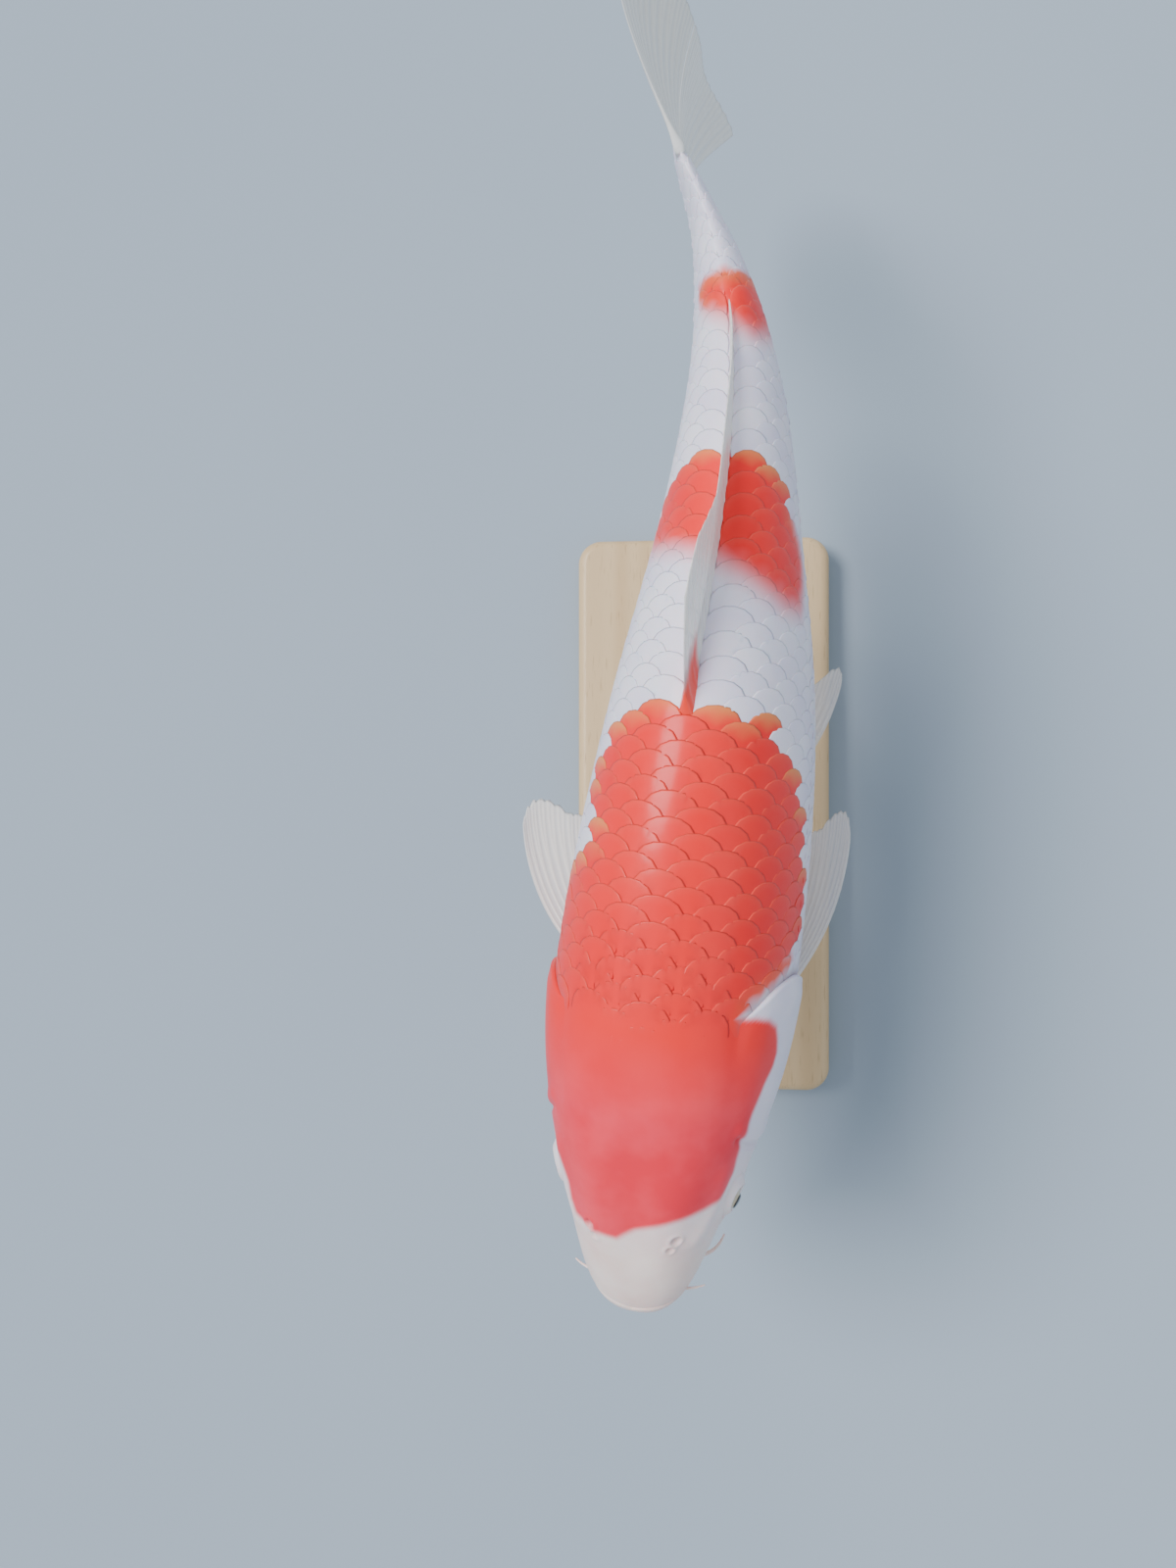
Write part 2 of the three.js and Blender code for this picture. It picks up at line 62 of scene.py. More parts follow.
# Body sections: share of the length, half width, back above the spine, belly below it
SECTIONS = [
    (0, 0, 0, 0), (0.01, 14.6, 15.5, 12.5), (0.04, 24.6, 29, 24), (0.08, 31.5, 42, 34.5),
    (0.12, 37.6, 52.5, 43.5), (0.17, 45.8, 62.5, 51.5), (0.24, 52.2, 71.5, 60), (0.32, 53.4, 77, 67),
    (0.42, 51.2, 80, 72), (0.55, 44.3, 74, 67), (0.68, 32.5, 58, 54), (0.8, 22.2, 41, 40),
    (0.9, 12.4, 32.5, 30.5), (0.95, 7.2, 31.5, 29.5), (1, 4, 33, 31),
]
BACK_POWERS = [(0, 2.3), (0.1, 2.5), (0.25, 2.3), (0.4, 2.08), (0.7, 2), (1, 1.9)]
BELLY_POWER = 2.2

rng = np.random.default_rng(20)


# ---- curves and the body's surface

def smooth(table, column, at, power=1.0):
    """Cubic through one column of a table; slopes weigh the neighbouring steps by their widths."""
    table = np.array(table, float)
    x = table[:, 0] ** power
    y = table[:, column]
    at = np.clip(np.asarray(at, float), table[0, 0], table[-1, 0]) ** power
    width = np.diff(x)
    slope = np.diff(y) / width
    tangent = np.concatenate([[slope[0]], (slope[:-1] * width[1:] + slope[1:] * width[:-1])
                              / (width[1:] + width[:-1]), [slope[-1]]])
    i = np.clip(np.searchsorted(x, at, side="right") - 1, 0, len(width) - 1)
    t = (at - x[i]) / width[i]
    return ((1 + 2 * t) * (1 - t) ** 2 * y[i] + t * (1 - t) ** 2 * width[i] * tangent[i]
            + t * t * (3 - 2 * t) * y[i + 1] + t * t * (t - 1) * width[i] * tangent[i + 1])


def lerp(a, b, t):
    """Straight mix of a and b."""
    return a + (b - a) * t


def step(low, high, x):
    """Soft step from 0 below low to 1 above high: 3t^2 - 2t^3."""
    t = np.clip((np.asarray(x, float) - low) / (high - low), 0, 1)
    return t * t * (3 - 2 * t)


def bell(x, width):
    """Bell of height 1: e to the minus (x / width) squared."""
    return np.exp(-(x / width) ** 2)


# The spine walked in short straight steps along its heading, its middle brought over the base
WALK_STEPS = 1300
walk_s = np.linspace(0, SPINE_END, WALK_STEPS + 1)
walk_heading = np.radians(smooth(HEADINGS, 1, (np.arange(WALK_STEPS) + 0.5) * SPINE_END / WALK_STEPS))
walk_x, walk_y = (np.concatenate([[0], np.cumsum(run)]) * SPINE_END / WALK_STEPS * BODY_LENGTH
                  for run in (np.sin(walk_heading), np.cos(walk_heading)))
walk_x -= np.interp(CENTRE, walk_s, walk_x)
walk_y -= np.interp(CENTRE, walk_s, walk_y)


def spine(s):
    """Point of the spine at share s, read from the walk and lowered towards the snout by a square, with the
    fish's own directions: tailward, left and up."""
    s = np.asarray(s, float)
    heading = np.radians(smooth(HEADINGS, 1, s))
    bank = np.radians(smooth(BANKS, 1, s))
    drop = SNOUT_DROP * np.maximum(0, 1 - s / DROP_END) ** 2
    point = np.stack([np.interp(s, walk_s, walk_x), np.interp(s, walk_s, walk_y), AXIS_HEIGHT - drop], -1)
    sh, ch, sb, cb = np.sin(heading), np.cos(heading), np.sin(bank), np.cos(bank)
    back = np.stack([sh, ch, 0 * s], -1)
    side = np.stack([ch * cb, -sh * cb, sb], -1)
    up = np.stack([-ch * sb, sh * sb, cb], -1)
    return point, back, side, up


def place(s, side, height):
    """Point at share s, so far to the fish's left and so far above the spine."""
    point, _, left, up = spine(s)
    return point + left * np.asarray(side)[..., None] + up * np.asarray(height)[..., None]


def half_width(s):
    return smooth(SECTIONS, 1, s, 0.5)


def back_height(s):
    return smooth(SECTIONS, 2, s, 0.5)


def belly_depth(s):
    return smooth(SECTIONS, 3, s, 0.5)


def body_point(s, degrees, offset=0.0):
    """Superellipse section: side and height are |cos| and |sin| to 2/power times the grown half axes."""
    s, degrees, offset = np.broadcast_arrays(*(np.asarray(v, float) for v in (s, degrees, offset)))
    c = np.cos(np.radians(degrees))
    d = np.sin(np.radians(degrees))
    above = d >= 0
    power = 2 / np.where(above, smooth(BACK_POWERS, 1, s), BELLY_POWER)
    side = np.sign(c) * np.abs(c) ** power * (half_width(s) + offset)
    depth = np.where(above, back_height(s), belly_depth(s)) + offset
    return place(s, side, np.sign(d) * np.abs(d) ** power * depth)


# Distance round the body from the back ridge, tabled by share and angle on the left side
TABLE_S = np.linspace(0, 1, 251)
TABLE_ANGLE = np.linspace(90, -90, 241)
TABLE_SHARE = np.linspace(0, 1, 121)
ring_steps = np.linalg.norm(np.diff(body_point(TABLE_S[:, None], TABLE_ANGLE[None]), axis=1), axis=2)
TABLE_ARC = np.concatenate([np.zeros((len(TABLE_S), 1)), np.cumsum(ring_steps, axis=1)], axis=1)
TABLE_BACK = np.array([np.interp(TABLE_SHARE, arc / max(arc[-1], 1e-9), TABLE_ANGLE) for arc in TABLE_ARC])


def table_read(table, s, across):
    """Reads a table at share s of the length and share across of its other side, straight between entries."""
    rows, columns = table.shape
    i = np.clip(np.asarray(s, float), 0, 1) * (rows - 1)
    j = np.clip(np.asarray(across, float), 0, 1) * (columns - 1)
    a = np.minimum(i.astype(int), rows - 2)
    b = np.minimum(j.astype(int), columns - 2)
    i, j = i - a, j - b
    return ((table[a, b] * (1 - j) + table[a, b + 1] * j) * (1 - i)
            + (table[a + 1, b] * (1 - j) + table[a + 1, b + 1] * j) * i)


def back_turn(degrees):
    """Turn away from the back ridge, from -180 to 180 and plus on the fish's right."""
    return (np.asarray(degrees, float) - 90 + 180) % 360 - 180


def fold_angle(degrees):
    """The same angle on the left side: 90 minus the turn away from the back ridge."""
    return 90 - np.abs(back_turn(degrees))


def arc_at(s, degrees):
    """Distance round the body from the back ridge, plus on the fish's left and minus on its right."""
    turn = back_turn(degrees)
    return np.where(turn > 0, -1, 1) * table_read(TABLE_ARC, s, np.abs(turn) / 180)


def half_girth(s):
    """Distance round the body from the back ridge to the belly line."""
    return table_read(TABLE_ARC, s, 1)


def angle_at(s, arc):
    """Angle in degrees at a distance round the body: the inverse of arc_at."""
    left = table_read(TABLE_BACK, s, np.abs(arc) / np.maximum(half_girth(s), 1e-6))
    return np.where(np.asarray(arc) >= 0, left, 180 - left)


# Rear edge of the head by angle on the left side: the nape, then the free edge of the gill cover
HEAD_EDGE = [
    (-90, 0.205), (-80, 0.225), (-69, 0.249), (-52, 0.2685), (-33, 0.2865), (-10, 0.3055), (13, 0.3165),
    (31, 0.3075), (42, 0.293), (49, 0.283), (58, 0.271), (72, 0.252), (90, 0.243),
]
COVER_FOOT = 0.25  # beyond this share of the length the right cover keeps only COVER_SHUT of its reach
COVER_SHUT = 0.7


def head_edge(degrees):
    """Share of the length where the head ends at an angle; the right cover lies closer shut than the left."""
    left = fold_angle(degrees)
    edge = smooth(HEAD_EDGE, 1, left)
    shut = (np.cos(np.radians(degrees)) < 0) * (1 - step(42, 56, left)) * step(-76, -66, left)
    return edge - shut * (1 - COVER_SHUT) * (edge - COVER_FOOT)


# ---- markings

FRINGE_DEPTH = (1.5, 9)  # the orange edge of a patch fades out between these depths inside it
EDGE_REACH = 25  # how far from its edge a patch sets the softness
# Outlines of the red patches as share of the length and angle; soft is how far the colour fades in mm at
# the headward end and at the tailward end of the patch
PATCHES = [
    dict(soft=(2.0, 1.0), outline=[
        (0.094, 97), (0.106, 89), (0.12, 68), (0.13, 47), (0.138, 37), (0.16, 32), (0.19, 34), (0.213, 32),
        (0.236, 28), (0.249, 24), (0.26, 23), (0.272, 25), (0.283, 28), (0.289, 34), (0.291, 41), (0.29, 47),
        (0.295, 47), (0.306, 40), (0.317, 31), (0.328, 17), (0.342, 14), (0.347, 0), (0.395, 8), (0.428, 14),
        (0.447, 20), (0.465, 22), (0.479, 30), (0.489, 32), (0.503, 39), (0.512, 47), (0.519, 54), (0.51, 63),
        (0.515, 73), (0.519, 82), (0.532, 88), (0.532, 95), (0.521, 101), (0.522, 107), (0.511, 112),
        (0.51, 121), (0.498, 128), (0.49, 138), (0.474, 141), (0.451, 144), (0.427, 141), (0.413, 131),
        (0.394, 134), (0.38, 145), (0.372, 162), (0.366, 190), (0.33, 205), (0.27, 204), (0.225, 196),
        (0.19, 168), (0.165, 150), (0.15, 140), (0.13, 136), (0.115, 136), (0.104, 132), (0.096, 112),
    ]),
    dict(soft=(9.0, 1.0), outline=[
        (0.733, 90), (0.731, 100), (0.723, 110), (0.722, 124), (0.714, 145), (0.7, 158), (0.68, 162),
        (0.655, 158), (0.65, 146), (0.645, 118), (0.638, 94), (0.628, 78), (0.616, 58), (0.606, 40),
        (0.608, 24), (0.626, 18), (0.645, 14), (0.665, 17), (0.676, 25), (0.688, 32), (0.7, 41), (0.711, 52),
        (0.72, 62), (0.725, 76),
    ]),
    dict(soft=(8.0, 1.4), outline=[
        (0.882, 104), (0.881, 71), (0.882, 47), (0.885, 21), (0.882, -4), (0.87, -10), (0.848, 6),
        (0.832, 30), (0.824, 60), (0.83, 80), (0.842, 100), (0.852, 122), (0.864, 142), (0.878, 146),
        (0.885, 128),
    ]),
]
for patch in PATCHES:
    corners = np.array(patch["outline"])
    patch["corners"] = np.stack([corners[:, 0] * BODY_LENGTH, arc_at(corners[:, 0], corners[:, 1])], -1)


def patch_depth(corners, x, y):
    """Distance inside a closed outline, minus outside it, by crossing count and nearest side."""
    nearest = np.full(x.shape, 1e9)
    inside = np.zeros(x.shape, bool)
    for (ax, ay), (bx, by) in zip(corners, np.roll(corners, -1, axis=0)):
        dx, dy = bx - ax, by - ay
        t = np.clip(((x - ax) * dx + (y - ay) * dy) / (dx * dx + dy * dy), 0, 1)
        nearest = np.minimum(nearest, np.hypot(x - ax - t * dx, y - ay - t * dy))
        if dy:
            inside ^= ((ay > y) != (by > y)) & (x < ax + (y - ay) * dx / dy)
    return np.where(inside, nearest, -nearest)


def markings(s, arc):
    """Red from 0 to 1, how near the tailward edge of a patch is (fringe), and how soft the edge is in mm."""
    s, arc = np.broadcast_arrays(np.asarray(s, float), np.asarray(arc, float))
    x = s * BODY_LENGTH
    red, fringe, softness = np.zeros(x.shape), np.zeros(x.shape), np.ones(x.shape)
    for patch in PATCHES:
        deep = patch_depth(patch["corners"], x, arc)
        low, high = patch["corners"][:, 0].min(), patch["corners"][:, 0].max()
        tailward = (x - low) / (high - low)
        soft = lerp(*patch["soft"], step(0.25, 0.75, tailward))
        here = step(-soft, soft, deep)
        fringe = np.maximum(fringe, here * (1 - step(*FRINGE_DEPTH, deep)) * step(0.3, 0.7, tailward))
        softness = np.where(np.abs(deep) < EDGE_REACH, soft, softness)
        red = np.maximum(red, here)
    return red, fringe, softness


# ---- meshes

def make_mesh(name, points, quads, corner_uv=None, values=None, same=None, flat=None):
    """Object from points in mm and quads; same maps points to the one they share, and a quad with two
    corners in one point becomes a triangle. Faces are turned outward by the sign of the volume; those
    marked flat have no shading across their edges."""
    if same is not None:
        quads = same[quads]
    used, quads = np.unique(quads, return_inverse=True)
    quads = quads.reshape(-1, 4)
    points = points[used] * MM
    a, b, c, d = (points[quads[:, k]] for k in range(4))
    if (np.cross(b, c) * a).sum() + (np.cross(c, d) * a).sum() < 0:
        quads = quads[:, ::-1]
        corner_uv = None if corner_uv is None else corner_uv[:, ::-1]
    keep = quads != np.roll(quads, -1, axis=1)
    totals = keep.sum(1)
    whole = totals >= 3
    quads, keep, totals = quads[whole], keep[whole], totals[whole]
    mesh = bpy.data.meshes.new(name)
    mesh.vertices.add(len(points))
    mesh.vertices.foreach_set("co", points.astype(np.float32).ravel())
    mesh.loops.add(int(totals.sum()))
    mesh.loops.foreach_set("vertex_index", quads[keep].astype(np.int32))
    mesh.polygons.add(len(quads))
    mesh.polygons.foreach_set("loop_start", np.concatenate([[0], np.cumsum(totals)[:-1]]).astype(np.int32))
    mesh.polygons.foreach_set("use_smooth", np.ones(len(quads), bool) if flat is None else ~flat[whole])
    mesh.update(calc_edges=True)
    if corner_uv is not None:
        layer = mesh.uv_layers.new(name="OFBake")
        layer.data.foreach_set("uv", corner_uv[whole][keep].astype(np.float32).ravel())
    for key, value in (values or {}).items():
        held = mesh.attributes.new(key, "FLOAT", "POINT")
        held.data.foreach_set("value", np.asarray(value, float).ravel()[used].astype(np.float32))
    made = bpy.data.objects.new(name, mesh)
    bpy.context.scene.collection.objects.link(made)
    return made


def grid_quads(rows, columns):
    """Quads between neighbours of a grid of closed rings, and each corner's place on the unit square."""
    i = np.arange(rows - 1)[:, None, None] + [0, 0, 1, 1]
    j = np.arange(columns)[:, None] + [0, 1, 1, 0]
    quads = i * columns + j % columns
    uv = np.stack(np.broadcast_arrays(i / (rows - 1), j / columns), -1)
    return quads.reshape(-1, 4), uv.reshape(-1, 4, 2) * 0.98 + 0.01


def lay_rings(name, points, values=None, uv=None, flat=None):
    """Closed mesh from a grid of rings, or from many such grids; the first and the last ring of each are
    drawn into one point. uv holds a place on the unwrap for each point."""
    rings, around = points.shape[-3:-1]
    points = points.reshape(-1, rings, around, 3)
    same = np.arange(points[..., 0].size).reshape(points.shape[:3])
    quads, corner_uv = grid_quads(rings, around)
    quads = (quads + same[:, :1, :1]).reshape(-1, 4)
    same[:, 0] = same[:, 0, :1]
    same[:, -1] = same[:, -1, :1]
    corner_uv = np.tile(corner_uv, (len(points), 1, 1)) if uv is None else uv.reshape(-1, 2)[quads]
    return make_mesh(name, points.reshape(-1, 3), quads, corner_uv, values, same.ravel(), flat)


def hide_values(along, **others):
    """What the hide's material reads at each point; what isn't given is plain white hide."""
    held = dict(dict(red=0.0, fringe=0.0, rim=0.0, tone=0.5, lining=0.0, along=along), **others)
    return {key: np.broadcast_to(value, np.shape(along)) for key, value in held.items()}


def circle(count):
    """Angles of a full turn in radians."""
    return np.linspace(0, 2 * np.pi, count, endpoint=False)


def normals(points, wrap=False):
    """Unit normals of a grid of points, from its two tangents."""
    if wrap:
        around = np.roll(points, -1, axis=1) - np.roll(points, 1, axis=1)
    else:
        around = np.gradient(points, axis=1)
    out = np.cross(around, np.gradient(points, axis=0))
    return out / np.maximum(np.linalg.norm(out, axis=-1, keepdims=True), 1e-9)


def body_normals(s, degrees):
    """Unit normals of the body over rings of places, turned away from the spine."""
    base = body_point(s, degrees)
    out = normals(base, wrap=True)
    return out * np.sign((out * (base - spine(s)[0])).sum(-1, keepdims=True))


def lay_tube(name, path, radius, sides, flat, up, along):
    """Closed tube: rings of the given radius round a path, flattened along up; its ends have no radius."""
    tangent = np.gradient(path, axis=0)
    tangent /= np.linalg.norm(tangent, axis=1, keepdims=True)
    out = np.cross(tangent, up)
    out /= np.linalg.norm(out, axis=1, keepdims=True)
    over = np.cross(out, tangent)
    turn = circle(sides)[:, None]
    ring = out[:, None] * np.cos(turn) + over[:, None] * flat * np.sin(turn)
    points = path[:, None] + ring * radius[:, None, None]
    return lay_rings(name, points, hide_values(np.full(points.shape[:2], along)))


# ---- eyes: places the head needs

EYE_RADIUS = 9.5
EYE_PROUD = 3.4
EYE_INSET = 0.05
LENS_PROUD = 0.3
IRIS_HOLLOW = 0.35
EYE_AT = 0.13
EYE_ANGLE = 14
SIDES = {"left": 1, "right": -1}


def side_angle(side, degrees):
    """Angle on the named side for an angle on the left one."""
    return degrees if side > 0 else 180 - degrees


def eye_frame(side):
    """Centre of the eyeball and its outward, forward and upward directions."""
    angle = side_angle(side, EYE_ANGLE)
    centre = body_point(EYE_AT, angle, EYE_PROUD - EYE_RADIUS)
    around = body_point(EYE_AT, angle + 1) - body_point(EYE_AT, angle - 1)
    along = body_point(EYE_AT + 0.002, angle) - body_point(EYE_AT - 0.002, angle)
    out = np.cross(around, along)
    out *= np.sign(out @ (centre - spine(EYE_AT)[0])) / np.linalg.norm(out)
    forward = -along / np.linalg.norm(along)
    return centre, out, forward, np.cross(out, forward)


EYES = {name: eye_frame(side) for name, side in SIDES.items()}


# ---- head forms

def line_distance(points, s, degrees):
    """Shortest distance from each point to a line drawn on the body through given places."""
    steps = np.linspace(0, len(s) - 1, 6 * (len(s) - 1) + 1)
    table = np.stack([np.arange(len(s)), s, degrees], -1)
    line = body_point(smooth(table, 1, steps), smooth(table, 2, steps))
    nearest = np.full(points.shape[:-1], 1e9)
    for a, b in zip(line[:-1], line[1:]):
        reach = b - a
        t = np.clip(((points - a) @ reach) / (reach @ reach), 0, 1)
        nearest = np.minimum(nearest, np.linalg.norm(points - a - t[..., None] * reach, axis=-1))
    return nearest


# Lines on the left of the head, the right has their mirror image: height in mm, width in mm, then places
HEAD_LINES = [
    (-1.3, 1.5, (0.19, 0.178, 0.173, 0.166, 0.148, 0.118), (38, 18, -4, -28, -48, -58)),  # behind the cheek
    (0.8, 3.2, (0.199, 0.187, 0.182, 0.176, 0.158, 0.126), (38, 18, -4, -28, -50, -62)),
    (-0.8, 1.2, (0.196, 0.225, 0.256, 0.284), (-37, -43, -42, -32)),  # foot of the gill plate
    (-0.7, 1.4, (0.072, 0.1, 0.13, 0.154, 0.163), (2, -14, -22, -14, 4)),  # under the eye
    (-1.1, 1.3, (0.013, 0.02, 0.034, 0.05, 0.06), (90, 48, 12, -12, -30)),  # fold behind the upper lip
    (-0.9, 1.6, (0.05, 0.072, 0.1, 0.128), (-34, -50, -60, -64)),  # along the lower jaw
    (1.1, 5.0, (0.1, 0.115, 0.135, 0.158), (44, 39, 37, 40)),  # brow
    (-0.7, 1.1, (0.135, 0.165, 0.2, 0.222), (-72, -76, -78, -80)),  # throat rays
    (-0.7, 1.1, (0.13, 0.16, 0.19, 0.212), (-80, -83, -85, -87)),
]
NOSTRILS = [(0.092, 66, 1.5), (0.1015, 63, 2.1)]  # share, angle and radius of the pits on the left
PIT_RIM = 0.45
PIT_DEPTH = 0.75  # as a share of its radius
# share of painted shade in the nostril pits
PIT_SHADE = 0.3
LINE_REACH = -0.35  # cosine of the angle, over the back and the belly, up to which a side's lines count
SOCKET_CLEAR = (7, 12)  # other forms fade out between these distances from the eye's axis
SOCKET_EDGE = (6.0, 8.6)
SOCKET_DEPTH = 7
SOCKET_WALL = (0.8, 11, 3.4)  # height of the flesh round the socket, its distance from the axis and width


def from_nostrils(points):
    """Distance of each point from each of the four pits, with the pit's radius."""
    return [(np.linalg.norm(points - body_point(at, side_angle(side, angle)), axis=-1), radius)
            for side in SIDES.values() for at, angle, radius in NOSTRILS]


def head_form(points, s, degrees):
    """Height of the head's own forms over the plain body: a bell across each line, a pit with a rim at each
    nostril, a furrow between two low ridges on the crown, and a wall round each eye's hollow."""
    left = fold_angle(degrees)
    high = np.zeros(s.shape)
    for side in SIDES.values():
        near = side * np.cos(np.radians(degrees)) > LINE_REACH
        for height, width, at, angles in HEAD_LINES:
            far = line_distance(points[near], np.array(at), side_angle(side, np.array(angles)))
            high[near] += height * bell(far, width)
    for far, radius in from_nostrils(points):
        high += PIT_RIM * bell(far - radius - 0.9, 0.9)
        high -= PIT_DEPTH * radius * (1 - step(radius * 0.5, radius * 1.25, far))
    crown = step(0.05, 0.09, s) * (1 - step(0.16, 0.21, s))
    high += crown * (0.5 * bell(90 - left - 22, 12) - 0.7 * bell(90 - left, 9))
    high += 0.5 * step(0.15, 0.185, s) * (1 - step(0.195, 0.235, s)) * bell(90 - left, 12)
    for centre, out, _, _ in EYES.values():
        away = points - centre
        over = away @ out
        around = np.linalg.norm(away - over[..., None] * out, axis=-1)
        wall, radius, width = SOCKET_WALL
        socket = wall * bell(around - radius, width) - SOCKET_DEPTH * (1 - step(*SOCKET_EDGE, around))
        near = (over > 0) & (around < 20)
        high = np.where(near, high * step(*SOCKET_CLEAR, around) + socket, high)
    return high


# ---- skin

COAT_DEPTH = 1.1  # the skin under the scales lies this far inside
NAPE_DIP = 0.45  # as far inside as the skin lies on the nape, where the scales are sunk in it
RIDGE_DIP = 0.5  # and along the root of the dorsal fin, which has no scales on it, and at the tail's root
TAIL_DIP = 0.8  # and at the end of the tail's root, where the skin closes
COVER_PROUD = 3.3
COVER_START = 0.172  # share of the length where the gill cover starts to rise
COVER_TOP = 50  # angle of its top, and how many degrees it spans from there
COVER_SPAN = 119
FLAP_FOOT = 0.9  # the gill cover's free edge closes this far inside the body
HEAD_ROWS = 170
TRUNK_ROWS = 64
COLUMNS = 390
COLUMNS_AT = 0.2  # the columns stand evenly round the body at this share
SINK_REACH = 22  # the bare skin of the nape sinks under the scales over this distance
TRUNK_START = 0.004  # share of the length from the turn to the first row of the trunk

# The turn of the gill cover's free edge, row by row: how far tailward of the edge, the share of the way down
# to its foot, and how far below that it is tucked; the nape has plain rows instead, up to PLAIN_REACH
FOLD_ALONG = np.array([0.5, 1.0, 1.3, 1.45, 1.4, 1.2, 0.6, -1.5, -2.5, -2.0, -0.5, 1.0, 4])[:, None]
FOLD_DROP = np.array([0.03, 0.12, 0.28, 0.5, 0.72, 0.9, 1, 1, 1, 1, 1, 1, 1])[:, None]
FOLD_TUCK = np.array([0, 0, 0, 0, 0, 0, 0, 0.7, 1.3, 1.5, 1.1, 0.5, 0.2])[:, None]
FOLD_ROWS = len(FOLD_ALONG)
PLAIN_REACH = (0.3, 4)
SHADED_ROWS = slice(HEAD_ROWS + 5, HEAD_ROWS + FOLD_ROWS - 1)  # rows of the turn under the gill cover, given a dark grey pink as painted shade


def cover_height(s, degrees):
    """Height of the gill cover: the way from its front to its free edge to the power 0.9, times a sine arch
    from top to bottom, and less at both ends and along the edge."""
    along = np.clip((s - COVER_START) / (head_edge(degrees) - COVER_START), 0, 1)
    across = np.clip((COVER_TOP - fold_angle(degrees)) / COVER_SPAN, 0, 1)
    fade = step(0, 0.14, across) * (1 - 0.7 * step(0.86, 1, across))
    margin = 1 - 0.3 * step(0.9, 1, along)
    return COVER_PROUD * fade * margin * (0.6 + 0.4 * np.sin(np.pi * across)) * along ** 0.9


def coat_depth(s, degrees):
    """How far inside the skin lies under the scales: less on the nape, by the dorsal fin and at the end."""
    crown = step(38, 60, fold_angle(degrees)) * (1 - step(0.27, 0.37, s))
    beside = (1 - step(1.5, 4, np.abs(arc_at(s, degrees)))) * step(0.49, 0.505, s) * (1 - step(0.83, 0.85, s))
    return lerp(lerp(COAT_DEPTH, NAPE_DIP, crown), RIDGE_DIP, np.maximum(beside, step(0.965, 0.99, s)))


def fold_share(degrees):
    """How far the head's rear edge is a free flap: 1 along the gill cover, 0 at the nape and the throat."""
    left = fold_angle(degrees)
    return (1 - step(42, 51, left)) * step(-86, -74, left)


def make_skin():
    """One skin from snout to tail root: the body's surface, moved along its normals by a height. Head rows
    run to the head's edge, then the gill cover turns under itself and comes back out as the trunk, which
    lies a coat's depth inside."""
    column = angle_at(COLUMNS_AT, np.linspace(-1, 1, COLUMNS, endpoint=False) * half_girth(COLUMNS_AT))
    edge = head_edge(column)
    t = np.linspace(0, 1, HEAD_ROWS)[:, None]
    head_s = edge * (0.62 * t ** 1.9 + 0.38 * t)
    head_s[1:4] *= np.array([0.25, 0.5, 0.8])[:, None]  # closer rows round the snout's tip
    flap = fold_share(column)
    proud = cover_height(edge, column)
    plain_along = np.linspace(*PLAIN_REACH, FOLD_ROWS)[:, None]
    turned = proud - FOLD_DROP * (proud + FLAP_FOOT) - FOLD_TUCK
    fold_s = edge + lerp(plain_along, FOLD_ALONG, flap) / BODY_LENGTH
    trunk_s = lerp(fold_s[-1:] + TRUNK_START, 1.0, np.linspace(0, 1, TRUNK_ROWS)[:, None])
    s = np.concatenate([head_s, fold_s, trunk_s])
    degrees = np.broadcast_to(column, s.shape)
    out = body_normals(np.sort(s, axis=0), degrees)
    out[0] = -spine(0.0)[1]
    round_head = degrees[:HEAD_ROWS]
    head_points = body_point(np.maximum(head_s, 0.0005), round_head)
    sinking = coat_depth(edge, column) * (1 - flap) * step(-SINK_REACH, 0, (head_s - edge) * BODY_LENGTH)
    high = np.concatenate([
        cover_height(head_s, round_head) + head_form(head_points, head_s, round_head) - sinking,
        lerp(proud * (1 - step(0, 3, plain_along)) - coat_depth(fold_s, column), turned, flap),
        -coat_depth(trunk_s, degrees[-TRUNK_ROWS:])])
    high[-1] = -TAIL_DIP
    points = body_point(s, degrees) + out * high[..., None]
    points = np.concatenate([points, np.broadcast_to(points[-1].mean(0), (1, COLUMNS, 3))])
    s = np.concatenate([s, s[-1:]])
    # painted shade on the rows turned under the gill cover
    lining = np.zeros(s.shape)
    lining[SHADED_ROWS] = flap
    # painted shade in the nostril pits
    for far, radius in from_nostrils(points):
        lining = np.maximum(lining, PIT_SHADE * (1 - step(radius * 0.7, radius * 1.5, far)))
    red = markings(s, arc_at(s, np.broadcast_to(column, s.shape)))[0]
    return lay_rings("koi_skin", points, hide_values(s, red=red, lining=lining))


# ---- scales

SCALE_PITCH = (10.9, 8.8)  # tailward distance between scales of a row, at the nape and at the tail
PITCH_RUN = 0.75  # share of the length between those two
ROW_PITCH = (8.3, 12.7)  # distance round the body between rows, at the tail and at the deepest part
ROW_GIRTH = (66, 202)  # the half girths with those pitches
SCALE_WIDE = 0.94  # half width of a scale over the row pitch
SCALE_REAR = 0.9  # reach tailward over the scale pitch
SCALE_FRONT = 1.05
SCALE_POWERS = (2.15, 2.9)  # roundness of its outline, tailward and headward
SCALE_THICK = 0.3
SCALE_SUNK = 0.1  # how far the free edges lie inside the body's outline, and how much more on the nape
NAPE_SUNK = 0.34
SCALE_DOME = 0.35  # height of its middle over its rim, as a share of its rise
SCALE_BEVEL = 0.25  # drop of the rim, as a share of its rise
FLANK_RISE = 0.44  # height that a scale gains over one pitch: on the flanks, on the nape, along the back
NAPE_RISE = 0.12
BACK_RISE = 0.24
BELLY_ROW = 99  # marks the scales on the belly line, which lie over their neighbours by a share of their rise
BELLY_LIFT = 0.3
